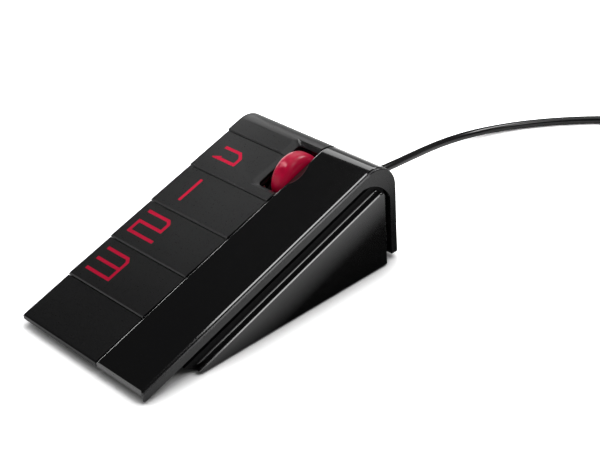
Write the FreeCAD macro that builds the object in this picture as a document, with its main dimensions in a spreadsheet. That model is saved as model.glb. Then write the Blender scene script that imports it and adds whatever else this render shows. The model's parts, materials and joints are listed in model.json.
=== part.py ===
import FreeCAD, Part
import math
import os
import re
import Sketcher
from FreeCAD import Placement, Rotation, Vector

# Wedge-shaped desk controller: a sloping folded slab with four tilting keys, a gloss panel and a
# scroll wheel that can be pressed, on a narrower base with a ballast plate, and a cable at the rear.
# Frame: X across, Y from front to rear, Z up, with the origin on the floor under the middle.
# Lengths are in millimetres and angles in degrees.
SIZES = {
    # slab
    "slope": 18.3,
    "front_height": 3.9,
    "rear_run": 18.0,
    "shell_width": 59.6,
    "slab_depth": 2.95,
    "rear_wall": 2.8,
    "roll_radius": 8.8,
    "corner_radius": 4.0,
    "rear_wall_foot": 2.0,
    "rim_width": 0.8,
    "rim_chamfer": 0.3,
    "lip_setback": 2.0,
    "skin_end": 20.0,
    # strips on the slab
    "edge_margin": 0.3,
    "divider_place": 7.3,
    "divider_gap": 0.5,
    "panel_gap": 0.25,
    "panel_thick": 1.5,
    "panel_rise": 0.15,
    "panel_chamfer": 0.3,
    "pad_run": 19.0,
    "pad_thick": 1.6,
    "pad_bevel": 0.25,
    "key_pitch": 18.0,
    "key_gap": 0.3,
    "key_thick": 1.2,
    "key_front_rise": 0.2,
    "key_rear_drop": 0.15,
    "key_bevel": 0.4,
    "key_chamfer": 0.3,
    "key_room": 0.75,
    # wheel pocket
    "pocket_side_room": 2.8,
    "pocket_front_room": 1.1,
    "pocket_rear_room": 0.5,
    "pocket_radius": 1.5,
    "bevel_depth": 0.85,
    "bevel_left": 2.1,
    "bevel_front": 1.3,
    "bevel_rear": 1.6,
    # legends
    "legend_stroke": 1.2,
    "legend_depth": 0.35,
    "legend_bottom": 5.0,
    "legend_middle": 9.6,
    "legend_top": 14.25,
    "legend_inset": 3.4,
    "legend_width": 11.25,
    "legend_corner": 1.2,
    "arrow_bottom": 6.7,
    "arrow_top": 11.65,
    "arrow_inset": 1.2,
    "arrow_tail_inset": 2.2,
    "arrow_flat": 0.4,
    "arrow_shoulder": 1.9,
    "arrow_head": 3.2,
    "arrow_barb": 0.7,
    # hinge of the keys
    "hinge_side": 4.7,
    "hinge_depth": 3.4,
    "hinge_rod_radius": 0.75,
    "hinge_fit": 0.05,
    "lug_radius": 1.6,
    "tongue_thick": 0.8,
    "tongue_depth": 1.75,
    "tongue_start": 5.0,
    "tongue_run": 8.0,
    "return_tongue_start": 1.2,
    "return_tongue_run": 2.6,
    "tongue_clearance": 0.6,
    "tongue_link": 1.6,
    # switches and main board
    "switch_inset": 9.5,
    "switch_width": 6.0,
    "switch_height": 1.5,
    "switch_floor": 0.3,
    "button_radius": 1.5,
    "button_fit": 0.1,
    "button_proud": 0.7,
    "button_guide": 0.65,
    "stem_gap": 0.05,
    "stem_room": 0.7,
    "board_depth": 5.6,
    "board_thick": 1.2,
    "board_front_run": 5.5,
    "board_rear_run": 1.0,
    "board_gap": 0.8,
    "board_notch_room": 4.4,
    "board_notch_gap": 1.6,
    "board_boss_radius": 2.0,
    "board_boss_left": -10.0,
    "board_boss_edge": 5.0,
    "board_boss_front_run": 15.0,
    "board_boss_rear_run": 27.0,
    "small_screw_radius": 0.8,
    "small_head_radius": 1.6,
    "small_head_thick": 1.1,
    "screw_fit": 0.05,
    "chip_width": 7.0,
    "chip_thick": 1.0,
    "chip_place": 2.0,
    "chip_run": 46.0,
    "crystal_length": 5.0,
    "crystal_width": 3.2,
    # base
    "floor_gap": 0.6,
    "base_inset": 0.3,
    "base_drop": 5.5,
    "base_front": 15.6,
    "base_front_foot": 19.8,
    "base_rear_gap": 4.6,
    "base_rear_radius": 4.2,
    "base_wall": 2.0,
    "base_floor": 1.8,
    "prow_wall": 3.4,
    "skirt_inset": 2.5,
    "skirt_wall": 1.5,
    "skirt_depth": 6.5,
    "skirt_front": 18.6,
    "skirt_rear_run": 8.5,
    "plate_thick": 1.6,
    "plate_drop": 8.75,
    "plate_front": 19.1,
    "plate_rear_gap": 1.5,
    "plate_radius": 1.8,
    "plate_chamfer": 0.35,
    "foot_radius": 3.5,
    "foot_inset": 7.5,
    "foot_front_gap": 12.4,
    "foot_rear_gap": 12.9,
    "ballast_gap": 3.5,
    "ballast_front_gap": 19.4,
    "ballast_rear_gap": 5.6,
    "ballast_thick": 3.0,
    "ballast_screw_inset": 6.0,
    "boss_radius": 2.5,
    "screw_radius": 1.0,
    "head_radius": 2.0,
    "head_thick": 0.9,
    "screw_depth": 7.0,
    "front_boss_side": 7.0,
    "front_boss_right_inset": 9.8,
    "front_boss_gap": 8.4,
    "rear_boss_inset": 7.8,
    "rear_boss_gap": 5.4,
    # wheel and its carriage
    "wheel_radius": 9.0,
    "wheel_width": 6.6,
    "wheel_side_gap": 0.3,
    "wheel_ahead": 3.2,
    "wheel_sink": 5.1,
    "wheel_edge": 1.8,
    "tyre_inner": 6.9,
    "hub_web": 1.2,
    "hub_boss_radius": 2.4,
    "hub_inset": 0.3,
    "slot_radius": 4.9,
    "slot_length": 1.6,
    "slot_width": 1.2,
    "slot_count": 12,
    "axle_radius": 1.0,
    "axle_fit": 0.06,
    "pivot_reach": 11.4,
    "pivot_fall": 8.6,
    "arm_thick": 1.4,
    "arm_side_gap": 1.4,
    "crossbar_thick": 1.1,
    "crossbar_gap": 0.5,
    "crossbar_rear": 3.0,
    "cheek_gap": 0.4,
    "cheek_thick": 1.8,
    "cheek_front": 4.0,
    "cheek_rear": 3.5,
    "cheek_rise": 2.6,
    "bracket_floor": 1.4,
    "shelf_thick": 1.5,
    "shelf_front": 2.5,
    "wheel_board_thick": 1.2,
    "wheel_switch_height": 1.6,
    "wheel_button_gap": 0.1,
    "sensor_width": 2.5,
    "sensor_gap": 1.0,
    # cable
    "cable_radius": 1.4,
    "cable_height": 11.7,
    "boot_radius": 3.0,
    "boot_fit": 0.1,
    "boot_flange_radius": 4.2,
    "boot_flange_thick": 1.2,
    "boot_tail": 8.0,
    "boot_start_radius": 2.7,
    "boot_end_radius": 1.9,
    "lead_radius": 0.9,
    "wheel_lead_radius": 0.6,
    "header_width": 8.0,
    "header_length": 4.5,
    "header_height": 2.5,
    "header_plug_height": 3.0,
    "header_place": -14.0,
    "header_rear_run": 8.5,
    "coil_x": 55.2,
    "coil_y": 166.2,
    "coil_outer": 21.2,
    "coil_inner": 10.0,
    "coil_height": 8.4,
    "tie_width": 5.0,
    "tie_thick": 0.4,
    "plug_body_width": 15.6,
    "plug_body_height": 7.4,
    "plug_body_length": 22.0,
    "plug_shell_width": 12.0,
    "plug_shell_height": 4.5,
    "plug_shell_length": 14.0,
    "plug_offset": 12.0,
    "plug_rear": 5.4,
}

# Places that follow from the sizes.
PLACES = {
    "overall_length": "(pad_run + 4 * key_pitch + rear_run) * cos(slope * 1 deg)",
    "wheel_place": "divider_place + divider_gap - wheel_side_gap - wheel_width / 2",
    "wheel_run": "pad_run + 4 * key_pitch - wheel_ahead",
    "pocket_left": "wheel_place - wheel_width / 2 - pocket_side_room",
    "pocket_front": "wheel_run - wheel_radius - pocket_front_room",
    "pocket_rear": "wheel_run + wheel_radius + pocket_rear_room",
    "legend_left": "edge_margin - shell_width / 2 + legend_inset",
    "legend_right": "legend_left + legend_width",
    "arrow_left": "legend_left + arrow_inset",
    "hinge_place": "divider_place + hinge_side",
    "switch_place": "edge_margin - shell_width / 2 + switch_inset",
    "skirt_width": "shell_width - 2 * skirt_inset",
    "skirt_rear": "pad_run + 4 * key_pitch + skirt_rear_run",
    "board_start": "pad_run + board_front_run",
    "board_end": "pad_run + 4 * key_pitch - board_rear_run",
    "board_width": "skirt_width - 2 * (skirt_wall + board_gap)",
    "board_notch_start": "wheel_run - pivot_reach - cheek_front - board_notch_room",
    "board_notch_half": "wheel_width / 2 + arm_side_gap + arm_thick + cheek_gap + cheek_thick + board_notch_gap",
    "board_boss_right": "board_width / 2 - board_boss_edge",
    "board_boss_front": "pad_run + board_boss_front_run",
    "board_boss_rear": "pad_run + 4 * key_pitch - board_boss_rear_run",
    "header_run": "pad_run + 4 * key_pitch - header_rear_run",
    "base_width": "shell_width - 2 * base_inset",
    "base_rear": "overall_length - base_rear_gap",
    "plate_rear": "base_rear - plate_rear_gap",
    "foot_side": "base_width / 2 - foot_inset",
    "foot_front": "base_front + foot_front_gap",
    "foot_rear": "base_rear - foot_rear_gap",
    "axle_back": "wheel_run * cos(slope * 1 deg) + wheel_sink * sin(slope * 1 deg)",
    "ballast_width": "base_width - 2 * (base_wall + ballast_gap)",
    "ballast_front": "base_front + ballast_front_gap",
    "ballast_rear": "axle_back - pivot_reach - cheek_front - ballast_rear_gap",
    "ballast_screw_side": "ballast_width / 2 - ballast_screw_inset",
    "front_boss_left": "switch_place + front_boss_side",
    "front_boss_right": "shell_width / 2 - front_boss_right_inset",
    "front_boss_back": "base_front + front_boss_gap",
    "rear_boss_side": "shell_width / 2 - rear_boss_inset",
    "rear_boss_back": "base_rear - rear_boss_gap",
}

doc = FreeCAD.newDocument("desk_controller")
sheet = doc.addObject("Spreadsheet::Sheet", "sizes")
for row, (size_name, size_value) in enumerate(SIZES.items(), 1):
    sheet.set(f"A{row}", size_name)
    sheet.set(f"B{row}", str(size_value))
    sheet.setAlias(f"B{row}", size_name)
doc.recompute()

WORD = re.compile(r"\b[a-z][a-z_]*\b")
TILT = "(slope * 1 deg)"


def full(text):
    """Turns the plain words of a formula into references to the sheet."""

    def known(found):
        word = found[0]
        if word in PLACES:
            return f"({full(PLACES[word])})"
        return f"sizes.{word}" if word in SIZES else word

    return WORD.sub(known, str(text))


def value(text):
    found = sheet.evalExpression(full(text))
    return float(getattr(found, "Value", found))


def bind(thing, path, text):
    thing.setExpression(path, full(text))


# Places on the slope: run along it from the front, rise square to it. Places on the floor: back, height.
def slope_back(run, rise):
    return f"(({run}) * cos({TILT}) - ({rise}) * sin({TILT}))"


def slope_height(run, rise):
    return f"(front_height + ({run}) * sin({TILT}) + ({rise}) * cos({TILT}))"


def run_at(back, rise):
    return f"((({back}) + ({rise}) * sin({TILT})) / cos({TILT}))"


def on_slope(back, height):
    run = f"(({back}) * cos({TILT}) + ({height} - front_height) * sin({TILT}))"
    rise = f"(({height} - front_height) * cos({TILT}) - ({back}) * sin({TILT}))"
    return run, rise


def under_top(back, drop):
    """Height of a line that lies a vertical drop under the slab's top plane."""
    return f"(front_height + ({back}) * tan({TILT}) - ({drop}))"


class Piece:
    """One body, drawn either in the floor frame or in the slope frame."""

    turns = {
        "right": ((0, 1, 0), "90"),
        "back": ((1, 0, 0), "-90"),
        "up": ((0, 0, 1), "0"),
        "level": ((1, 0, 0), "-90 - slope"),
        "plumb": ((1, 0, 0), "-slope"),
    }

    def __init__(self, name, sloped=False):
        self.name = name
        self.body = doc.addObject("PartDesign::Body", name)
        self.body.Label = name
        self.body.Placement = Placement(Vector(0, 0, 0), Rotation(Vector(1, 0, 0), 1.0))
        bind(self.body, "Placement.Base.y", "-overall_length / 2")
        bind(self.body, "Placement.Base.z", "front_height" if sloped else "0")
        bind(self.body, "Placement.Rotation.Angle", TILT if sloped else "0 deg")
        PIECES[name] = self.body

    def add(self, kind, cut=False):
        prefix = "Subtractive" if cut else "Additive"
        kind = kind if "::" in kind else f"PartDesign::{prefix}{kind}"
        return self.body.newObject(kind, f"{self.name}_{len(self.body.Group) + 1}")

    def block(self, left, right, front, rear, low, high, cut=False):
        box = self.add("Box", cut)
        bind(box, "Length", f"({right}) - ({left})")
        bind(box, "Width", f"({rear}) - ({front})")
        bind(box, "Height", f"({high}) - ({low})")
        self.put(box, left, front, low)

    def rod(self, turn, across, back, height, radius, length, cut=False, end_radius=None):
        rod = self.add("Cone" if end_radius else "Cylinder", cut)
        if end_radius:
            bind(rod, "Radius1", radius)
            bind(rod, "Radius2", end_radius)
        else:
            bind(rod, "Radius", radius)
        bind(rod, "Height", length)
        self.put(rod, across, back, height, turn)

    def put(self, thing, across, back, height, turn="up"):
        axis, angle = self.turns[turn]
        thing.Placement = Placement(Vector(0, 0, 0), Rotation(Vector(*axis), 1.0))
        bind(thing, "Placement.Base.x", across)
        bind(thing, "Placement.Base.y", back)
        bind(thing, "Placement.Base.z", height)
        bind(thing, "Placement.Rotation.Angle", f"({angle}) * 1 deg")

    def outline(self, plane, corners, offset, rounds=None, turn=None):
        """A closed sketch through the corners, with an arc at each corner that rounds names."""
        rounds = rounds or {}
        role = {"top": "XY_Plane", "side": "YZ_Plane"}[plane]
        flat = [item for item in self.body.Origin.OriginFeatures if item.Role == role][0]
        sketch = self.add("Sketcher::SketchObject")
        sketch.AttachmentSupport = [(flat, "")]
        sketch.MapMode = "FlatFace"
        if turn:
            sketch.AttachmentOffset = Placement(Vector(0, 0, 0), Rotation(Vector(1, 0, 0), 1.0))
            bind(sketch, "AttachmentOffset.Rotation.Angle", turn)
        bind(sketch, "AttachmentOffset.Base.z", offset)
        points = [Vector(value(a), value(b), 0) for a, b in corners]
        count = len(points)
        starts = list(points)
        ends = list(points)
        arcs = {}
        for index, radius in rounds.items():
            here = points[index]
            back = (points[index - 1] - here).normalize()
            ahead = (points[(index + 1) % count] - here).normalize()
            half = back.getAngle(ahead) / 2
            reach = value(radius) / math.tan(half)
            centre = here + (back + ahead).normalize() * (value(radius) / math.sin(half))
            ends[index] = here + back * reach
            starts[index] = here + ahead * reach
            spokes = [ends[index] - centre, starts[index] - centre]
            forward = spokes[0].cross(spokes[1]).z > 0
            first, last = [math.atan2(spoke.y, spoke.x) for spoke in (spokes if forward else spokes[::-1])]
            last = last if last > first else last + 2 * math.pi
            ring = Part.Circle(centre, Vector(0, 0, 1), value(radius))
            arcs[index] = (Part.ArcOfCircle(ring, first, last), 1 if forward else 2)
        lines = []
        for index in range(count):
            lines.append(sketch.addGeometry(Part.LineSegment(starts[index], ends[(index + 1) % count])))
        for index, (a, b) in enumerate(corners):
            before = lines[index - 1]
            after = lines[index]
            if index in rounds:
                curve, first = arcs[index]
                arc = sketch.addGeometry(curve)
                sketch.addConstraint(Sketcher.Constraint("Tangent", before, 2, arc, first))
                sketch.addConstraint(Sketcher.Constraint("Tangent", arc, 3 - first, after, 1))
                size = sketch.addConstraint(Sketcher.Constraint("Radius", arc, value(rounds[index])))
                bind(sketch, f"Constraints[{size}]", rounds[index])
                mark = sketch.addGeometry(Part.Point(points[index]), True)
                sketch.addConstraint(Sketcher.Constraint("PointOnObject", mark, 1, before))
                sketch.addConstraint(Sketcher.Constraint("PointOnObject", mark, 1, after))
            else:
                sketch.addConstraint(Sketcher.Constraint("Coincident", before, 2, after, 1))
                mark = after
            for kind, text, number in (("DistanceX", a, points[index].x), ("DistanceY", b, points[index].y)):
                rule = sketch.addConstraint(Sketcher.Constraint(kind, -1, 1, mark, 1, number))
                bind(sketch, f"Constraints[{rule}]", text)
        return sketch

    def prism(self, plane, corners, start, end, cut=False, rounds=None, turn=None):
        sketch = self.outline(plane, corners, start, rounds, turn)
        solid = self.add("PartDesign::Pocket" if cut else "PartDesign::Pad")
        solid.Profile = sketch
        solid.Reversed = cut
        solid.Length = value(f"({end}) - ({start})")
        bind(solid, "Length", f"({end}) - ({start})")

    def loft(self, low_corners, low, high_corners, high, rounds):
        bottom = self.outline("top", low_corners, low, rounds)
        top = self.outline("top", high_corners, high, rounds)
        solid = self.add("Loft", True)
        solid.Profile = bottom
        solid.Sections = [top]
        solid.Ruled = True

    def soften(self, kind, size, places):
        """Fillet or Chamfer of the edges that pass through the named places."""
        doc.recompute()
        base = self.body.Tip
        names = []
        for place in places:
            dot = Part.Vertex(*[value(text) for text in place])
            far = [edge.distToShape(dot)[0] for edge in base.Shape.Edges]
            names.append(f"Edge{far.index(min(far)) + 1}")
        soft = self.add(f"PartDesign::{kind}")
        soft.Base = (base, names)
        prop = "Radius" if kind == "Fillet" else "Size"
        setattr(soft, prop, value(size))
        bind(soft, prop, size)


PIECES = {}
HALF = "(shell_width / 2)"
CAP_LEFT = "(edge_margin - shell_width / 2)"
PANEL_LEFT = "(divider_place + divider_gap)"
PANEL_RIGHT = f"({HALF} - rim_width - panel_gap)"
SPLIT = "(divider_place + divider_gap / 2)"
RIM_LEFT = f"({HALF} - rim_width)"
PANEL_LOW = "(panel_rise - panel_thick)"
KEY_FLOOR = "(-key_thick - key_room)"
CAP_FRONT = "(pad_run + 4 * key_pitch)"
FLOOR_TOP = "(floor_gap + base_floor)"
KEYS = {"key_3": 0, "key_2": 1, "key_1": 2, "key_return": 3}


def key_front(name):
    return f"(pad_run + {KEYS[name]} * key_pitch)"


def tongue(name):
    """Front and rear end of a key's tongue and lug, as runs on the slope."""
    prefix = "return_" if name == "key_return" else ""
    front = f"({key_front(name)} + {prefix}tongue_start)"
    return front, f"({front} + {prefix}tongue_run)"


AXLE_BACK = "axle_back"
AXLE_HEIGHT = slope_height("wheel_run", "-wheel_sink")
PIVOT_BACK = f"({AXLE_BACK} - pivot_reach)"
PIVOT_HEIGHT = f"({AXLE_HEIGHT} - pivot_fall)"
BAR_TOP = f"({AXLE_HEIGHT} - wheel_radius - crossbar_gap)"
BAR_LOW = f"({BAR_TOP} - crossbar_thick)"
ARM_OUT = "(wheel_width / 2 + arm_side_gap + arm_thick)"
CHEEK_IN = f"({ARM_OUT} + cheek_gap)"
BUTTON_TOP = f"({BAR_LOW} - wheel_button_gap)"
WHEEL_SWITCH_TOP = f"({BUTTON_TOP} - button_proud)"
WHEEL_BOARD_TOP = f"({WHEEL_SWITCH_TOP} - wheel_switch_height)"
SHELF_TOP = f"({WHEEL_BOARD_TOP} - wheel_board_thick)"
CHEEK_FRONT = f"({PIVOT_BACK} - cheek_front)"
CHEEK_REAR = f"({AXLE_BACK} + cheek_rear)"
SWITCH_BACK = f"({AXLE_BACK} - 0.5)"
BOARD_LOW = "(-board_depth - board_thick)"
BOARD_SPOTS = [(f"board_boss_{side}", f"board_boss_{end}") for side in ("left", "right") for end in ("front", "rear")]
HOUSING_SPOTS = [
    ("front_boss_left", "front_boss_back"),
    ("front_boss_right", "front_boss_back"),
    ("-rear_boss_side", "rear_boss_back"),
    ("rear_boss_side", "rear_boss_back"),
]
BRACKET_SPOTS = [("wheel_place", f"({PIVOT_BACK} - 1)"), ("wheel_place", f"({AXLE_BACK} - 1)")]
BALLAST_SPOTS = [(f"{sign}ballast_screw_side", "(ballast_front + ballast_rear) / 2") for sign in ("-", "")]


def rolled(top, inset, foot, front_run, front_top):
    """Profile of a skin that follows the slope, rolls over the rear edge and ends at the height foot."""
    outer_foot = on_slope("overall_length", foot)
    inner_foot = on_slope(f"overall_length - {inset}", foot)
    low = f"({top} - {inset})" if top != "0" else f"(-{inset})"
    return [
        (front_run, front_top),
        (run_at("overall_length", top), top),
        outer_foot,
        inner_foot,
        (run_at(f"overall_length - {inset}", low), low),
        (front_run, low),
    ]


def round_plan(piece):
    """Rounds the slab's two rear corners in plan, the same for every piece that reaches them."""
    low = "-100"
    for sign in ("", "-"):
        side = f"{sign}{HALF}"
        away = "+ 2" if not sign else "- 2"
        inward = f"- 2 * {sign}corner_radius" if not sign else "+ 2 * corner_radius"
        zero = on_slope("0", "0")[0]
        corners = [
            (side, f"overall_length - 2 * corner_radius - {zero}"),
            (f"{side} {away}", f"overall_length - 2 * corner_radius - {zero}"),
            (f"{side} {away}", f"overall_length + 2 - {zero}"),
            (f"{side} {inward}", f"overall_length + 2 - {zero}"),
            (f"{side} {inward}", f"overall_length - {zero}"),
            (side, f"overall_length - {zero}"),
        ]
        piece.prism("top", corners, low, "100", True, {5: "corner_radius"}, "-slope * 1 deg")


def pocket_corners(grow):
    left = f"pocket_left - {grow} * bevel_left"
    front = f"pocket_front - {grow} * bevel_front"
    rear = f"pocket_rear + {grow} * bevel_rear"
    right = PANEL_LEFT
    return [(left, front), (right, front), (right, rear), (left, rear)]


def cut_pocket(piece):
    """Opening for the wheel, with the wide bevel round its edge."""
    piece.prism("top", pocket_corners("0"), "-12", "2", True, {0: "pocket_radius", 3: "pocket_radius"})
    piece.loft(pocket_corners("0"), "-bevel_depth", pocket_corners("1.4"), "0.4 * bevel_depth", {0: "pocket_radius", 3: "pocket_radius"})


# Slab shell: floor under the keys, shelf under the panel, rear wall, skirt and bosses.
deck = Piece("deck_shell", True)
profile = [
    (run_at("0", "0"), "0"),
    (run_at("overall_length", "0"), "0"),
    on_slope("overall_length", "rear_wall_foot"),
    on_slope("overall_length - rear_wall", "rear_wall_foot"),
    (run_at("overall_length - rear_wall", "-slab_depth"), "-slab_depth"),
    (run_at("0", "-slab_depth"), "-slab_depth"),
]
deck.prism("side", profile, f"-{HALF}", HALF, False, {1: "roll_radius", 4: "roll_radius - rear_wall"})
roll_run = run_at("overall_length - roll_radius", "-roll_radius")
edges = []
for sign in ("-", ""):
    side = f"{sign}{HALF}"
    edges.append((side, "overall_length / 2", "0"))
    edges.append((side, f"{roll_run} + roll_radius * sin(30 deg)", "-roll_radius + roll_radius * cos(30 deg)"))
    edges.append((side,) + on_slope("overall_length", "front_height + rear_wall_foot"))
deck.soften("Chamfer", "rim_chamfer", edges)
deck.block("-skirt_width / 2", "skirt_width / 2", "skirt_front", "skirt_rear", "-skirt_depth", "0.2 - slab_depth")
skirt_side = "skirt_width / 2 - skirt_wall"
deck.block(f"-({skirt_side})", skirt_side, "skirt_front + skirt_wall", "skirt_rear - skirt_wall", "-skirt_depth - 1", "-slab_depth", True)
for across, back in HOUSING_SPOTS:
    foot = on_slope(back, FLOOR_TOP)
    rise = f"{under_top(back, 'slab_depth')} - {FLOOR_TOP} + 1.2"
    deck.rod("plumb", across, *foot, "boss_radius", rise)
for across, run in BOARD_SPOTS:
    deck.rod("up", across, run, "-board_depth", "board_boss_radius", "board_depth - slab_depth + 0.5")
rib_low = "(-hinge_depth - lug_radius - 0.1)"
rib_rear = "(pocket_front + 1.5)"
deck.block("hinge_place - 1.8", "hinge_place + 1.8", "pad_run + 0.2", rib_rear, rib_low, "0.2 - slab_depth")
outside = (run_at("overall_length + 2", "2"), "2")
key_recess = [
    ("pad_run", "2"),
    ("pad_run", KEY_FLOOR),
    (CAP_FRONT, KEY_FLOOR),
    (CAP_FRONT, "-key_thick"),
    (run_at("overall_length - key_thick", "-key_thick"), "-key_thick"),
    on_slope("overall_length - key_thick", "skin_end"),
    on_slope("overall_length + 2", "skin_end"),
    outside,
]
deck.prism("side", key_recess, f"-{HALF} - 1", SPLIT, True, {4: "roll_radius - key_thick"})
pad_recess = [("-5", "2"), ("-5", "-pad_thick"), ("pad_run", "-pad_thick"), ("pad_run", "2")]
deck.prism("side", pad_recess, f"-{HALF} - 1", SPLIT, True)
panel_recess = [
    ("-5", "2"),
    ("-5", PANEL_LOW),
    (run_at(f"overall_length + {PANEL_LOW}", PANEL_LOW), PANEL_LOW),
    on_slope(f"overall_length + {PANEL_LOW}", "skin_end"),
    on_slope("overall_length + 2", "skin_end"),
    outside,
]
deck.prism("side", panel_recess, SPLIT, RIM_LEFT, True, {2: f"roll_radius + {PANEL_LOW}"})
lip = [(run_at("-5", "3"), "3"), (run_at("lip_setback", "3"), "3"), (run_at("lip_setback", "-5"), "-5"), (run_at("-5", "-5"), "-5")]
deck.prism("side", lip, f"-{HALF} - 1", RIM_LEFT, True)
deck.prism("top", pocket_corners("0"), "-12", "2", True, {0: "pocket_radius", 3: "pocket_radius"})
for name in KEYS:
    front, rear = tongue(name)
    deck.rod("up", "switch_place", f"{key_front(name)} + key_pitch / 2", "-slab_depth - 1", "button_radius + stem_room", "slab_depth + 1", True)
    deck.block("divider_place - tongue_link - tongue_clearance", "hinge_place + lug_radius + tongue_clearance", f"{front} - tongue_clearance", f"{rear} + tongue_clearance", f"{rib_low} - 0.5", "0", True)
deck.rod("back", "hinge_place", "pad_run + 0.8", "-hinge_depth", "hinge_rod_radius + hinge_fit", f"{rib_rear} - pad_run", True)
for across, back in HOUSING_SPOTS:
    deck.rod("plumb", across, *on_slope(back, f"{FLOOR_TOP} - 1"), "screw_radius + screw_fit", "screw_depth + 1.5", True)
for across, run in BOARD_SPOTS:
    deck.rod("up", across, run, "-board_depth - 1", "small_screw_radius + screw_fit", "board_depth - slab_depth + 0.9", True)
deck.rod("level", "0", *on_slope("overall_length - rear_wall - 3", "cable_height"), "boot_radius + boot_fit", "rear_wall + 6", True)
round_plan(deck)

# Blank front pad, fixed on the shell.
pad = Piece("front_pad", True)
pad_profile = [
    (run_at("0", "-pad_thick"), "-pad_thick"),
    ("pad_run - key_gap / 2", "-pad_thick"),
    ("pad_run - key_gap / 2", "-key_rear_drop"),
    (f"{run_at('0', '0')} + 2 * pad_bevel", "0"),
    (run_at("0", "-pad_bevel"), "-pad_bevel"),
]
pad.prism("side", pad_profile, CAP_LEFT, "divider_place")
pad.soften("Chamfer", "key_chamfer", [(CAP_LEFT, "pad_run / 2", "-key_rear_drop / 2")])

# Gloss panel along the right side, over the rear edge.
panel = Piece("gloss_panel", True)
panel_profile = rolled("panel_rise", "panel_thick", "skin_end", run_at("0", "panel_rise"), "panel_rise")
panel_profile[3] = on_slope(f"overall_length + {PANEL_LOW}", "skin_end")
panel_profile[4] = (run_at(f"overall_length + {PANEL_LOW}", PANEL_LOW), PANEL_LOW)
panel_profile[5] = (run_at("0", PANEL_LOW), PANEL_LOW)
panel.prism("side", panel_profile, PANEL_LEFT, PANEL_RIGHT, False, {1: "roll_radius", 4: f"roll_radius + {PANEL_LOW}"})
panel_edges = []
for side in (PANEL_LEFT, PANEL_RIGHT):
    panel_edges.append((side, "overall_length / 2", "panel_rise"))
    panel_edges.append((side,) + on_slope("overall_length", "skin_end + 1"))
    panel_edges.append((side, f"{roll_run} + roll_radius * sin(36 deg)", "panel_rise - roll_radius + roll_radius * cos(36 deg)"))
panel_edges.append(("(divider_place + divider_gap) + 5", run_at("0", "panel_rise"), "panel_rise"))
panel.soften("Chamfer", "panel_chamfer", panel_edges)
round_plan(panel)

# Rear cap behind the return key, over the rear edge.
cap = Piece("rear_cap", True)
cap_profile = rolled("0", "key_thick", "skin_end", f"{CAP_FRONT} + key_gap / 2", "key_front_rise - key_bevel")
cap_profile.insert(1, (f"{CAP_FRONT} + key_gap / 2 + key_bevel", "key_front_rise"))
cap.prism("side", cap_profile, CAP_LEFT, "divider_place", False, {2: "roll_radius", 5: "roll_radius - key_thick"})
cut_pocket(cap)
round_plan(cap)


# Keys: a thin cap, a stem over its switch, and a tongue under the panel to a lug on the rod.
def key(name):
    front = key_front(name)
    near = f"({front} + key_gap / 2)"
    far = f"({front} + key_pitch - key_gap / 2)"
    piece = Piece(name, True)
    profile = [
        (near, "-key_thick"),
        (far, "-key_thick"),
        (far, "-key_rear_drop"),
        (f"{near} + key_bevel", "key_front_rise"),
        (near, "key_front_rise - key_bevel"),
    ]
    piece.prism("side", profile, CAP_LEFT, "divider_place")
    piece.soften("Chamfer", "key_chamfer", [(CAP_LEFT, f"{front} + key_pitch / 2", "0")])
    stem_low = "(button_proud - board_depth + switch_height + stem_gap)"
    piece.rod("up", "switch_place", f"{front} + key_pitch / 2", stem_low, "button_radius", f"-key_thick + 0.3 - {stem_low}")
    start, end = tongue(name)
    tongue_low = "(-tongue_depth - tongue_thick)"
    link_left = "divider_place - tongue_link - 0.3"
    piece.block(link_left, "divider_place - 0.3", start, end, tongue_low, "0.2 - key_thick")
    piece.block(link_left, "hinge_place", start, end, tongue_low, "-tongue_depth")
    piece.rod("back", "hinge_place", start, "-hinge_depth", "lug_radius", f"{end} - {start}")
    piece.rod("back", "hinge_place", f"{start} - 1", "-hinge_depth", "hinge_rod_radius + hinge_fit", f"{end} - {start} + 2", True)
    return piece, near, far


# Legends are inlays that fill shallow recesses in the key caps.
half = "(legend_stroke / 2)"
nip = "(legend_stroke / 2 * tan(22.5 deg))"


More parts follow.
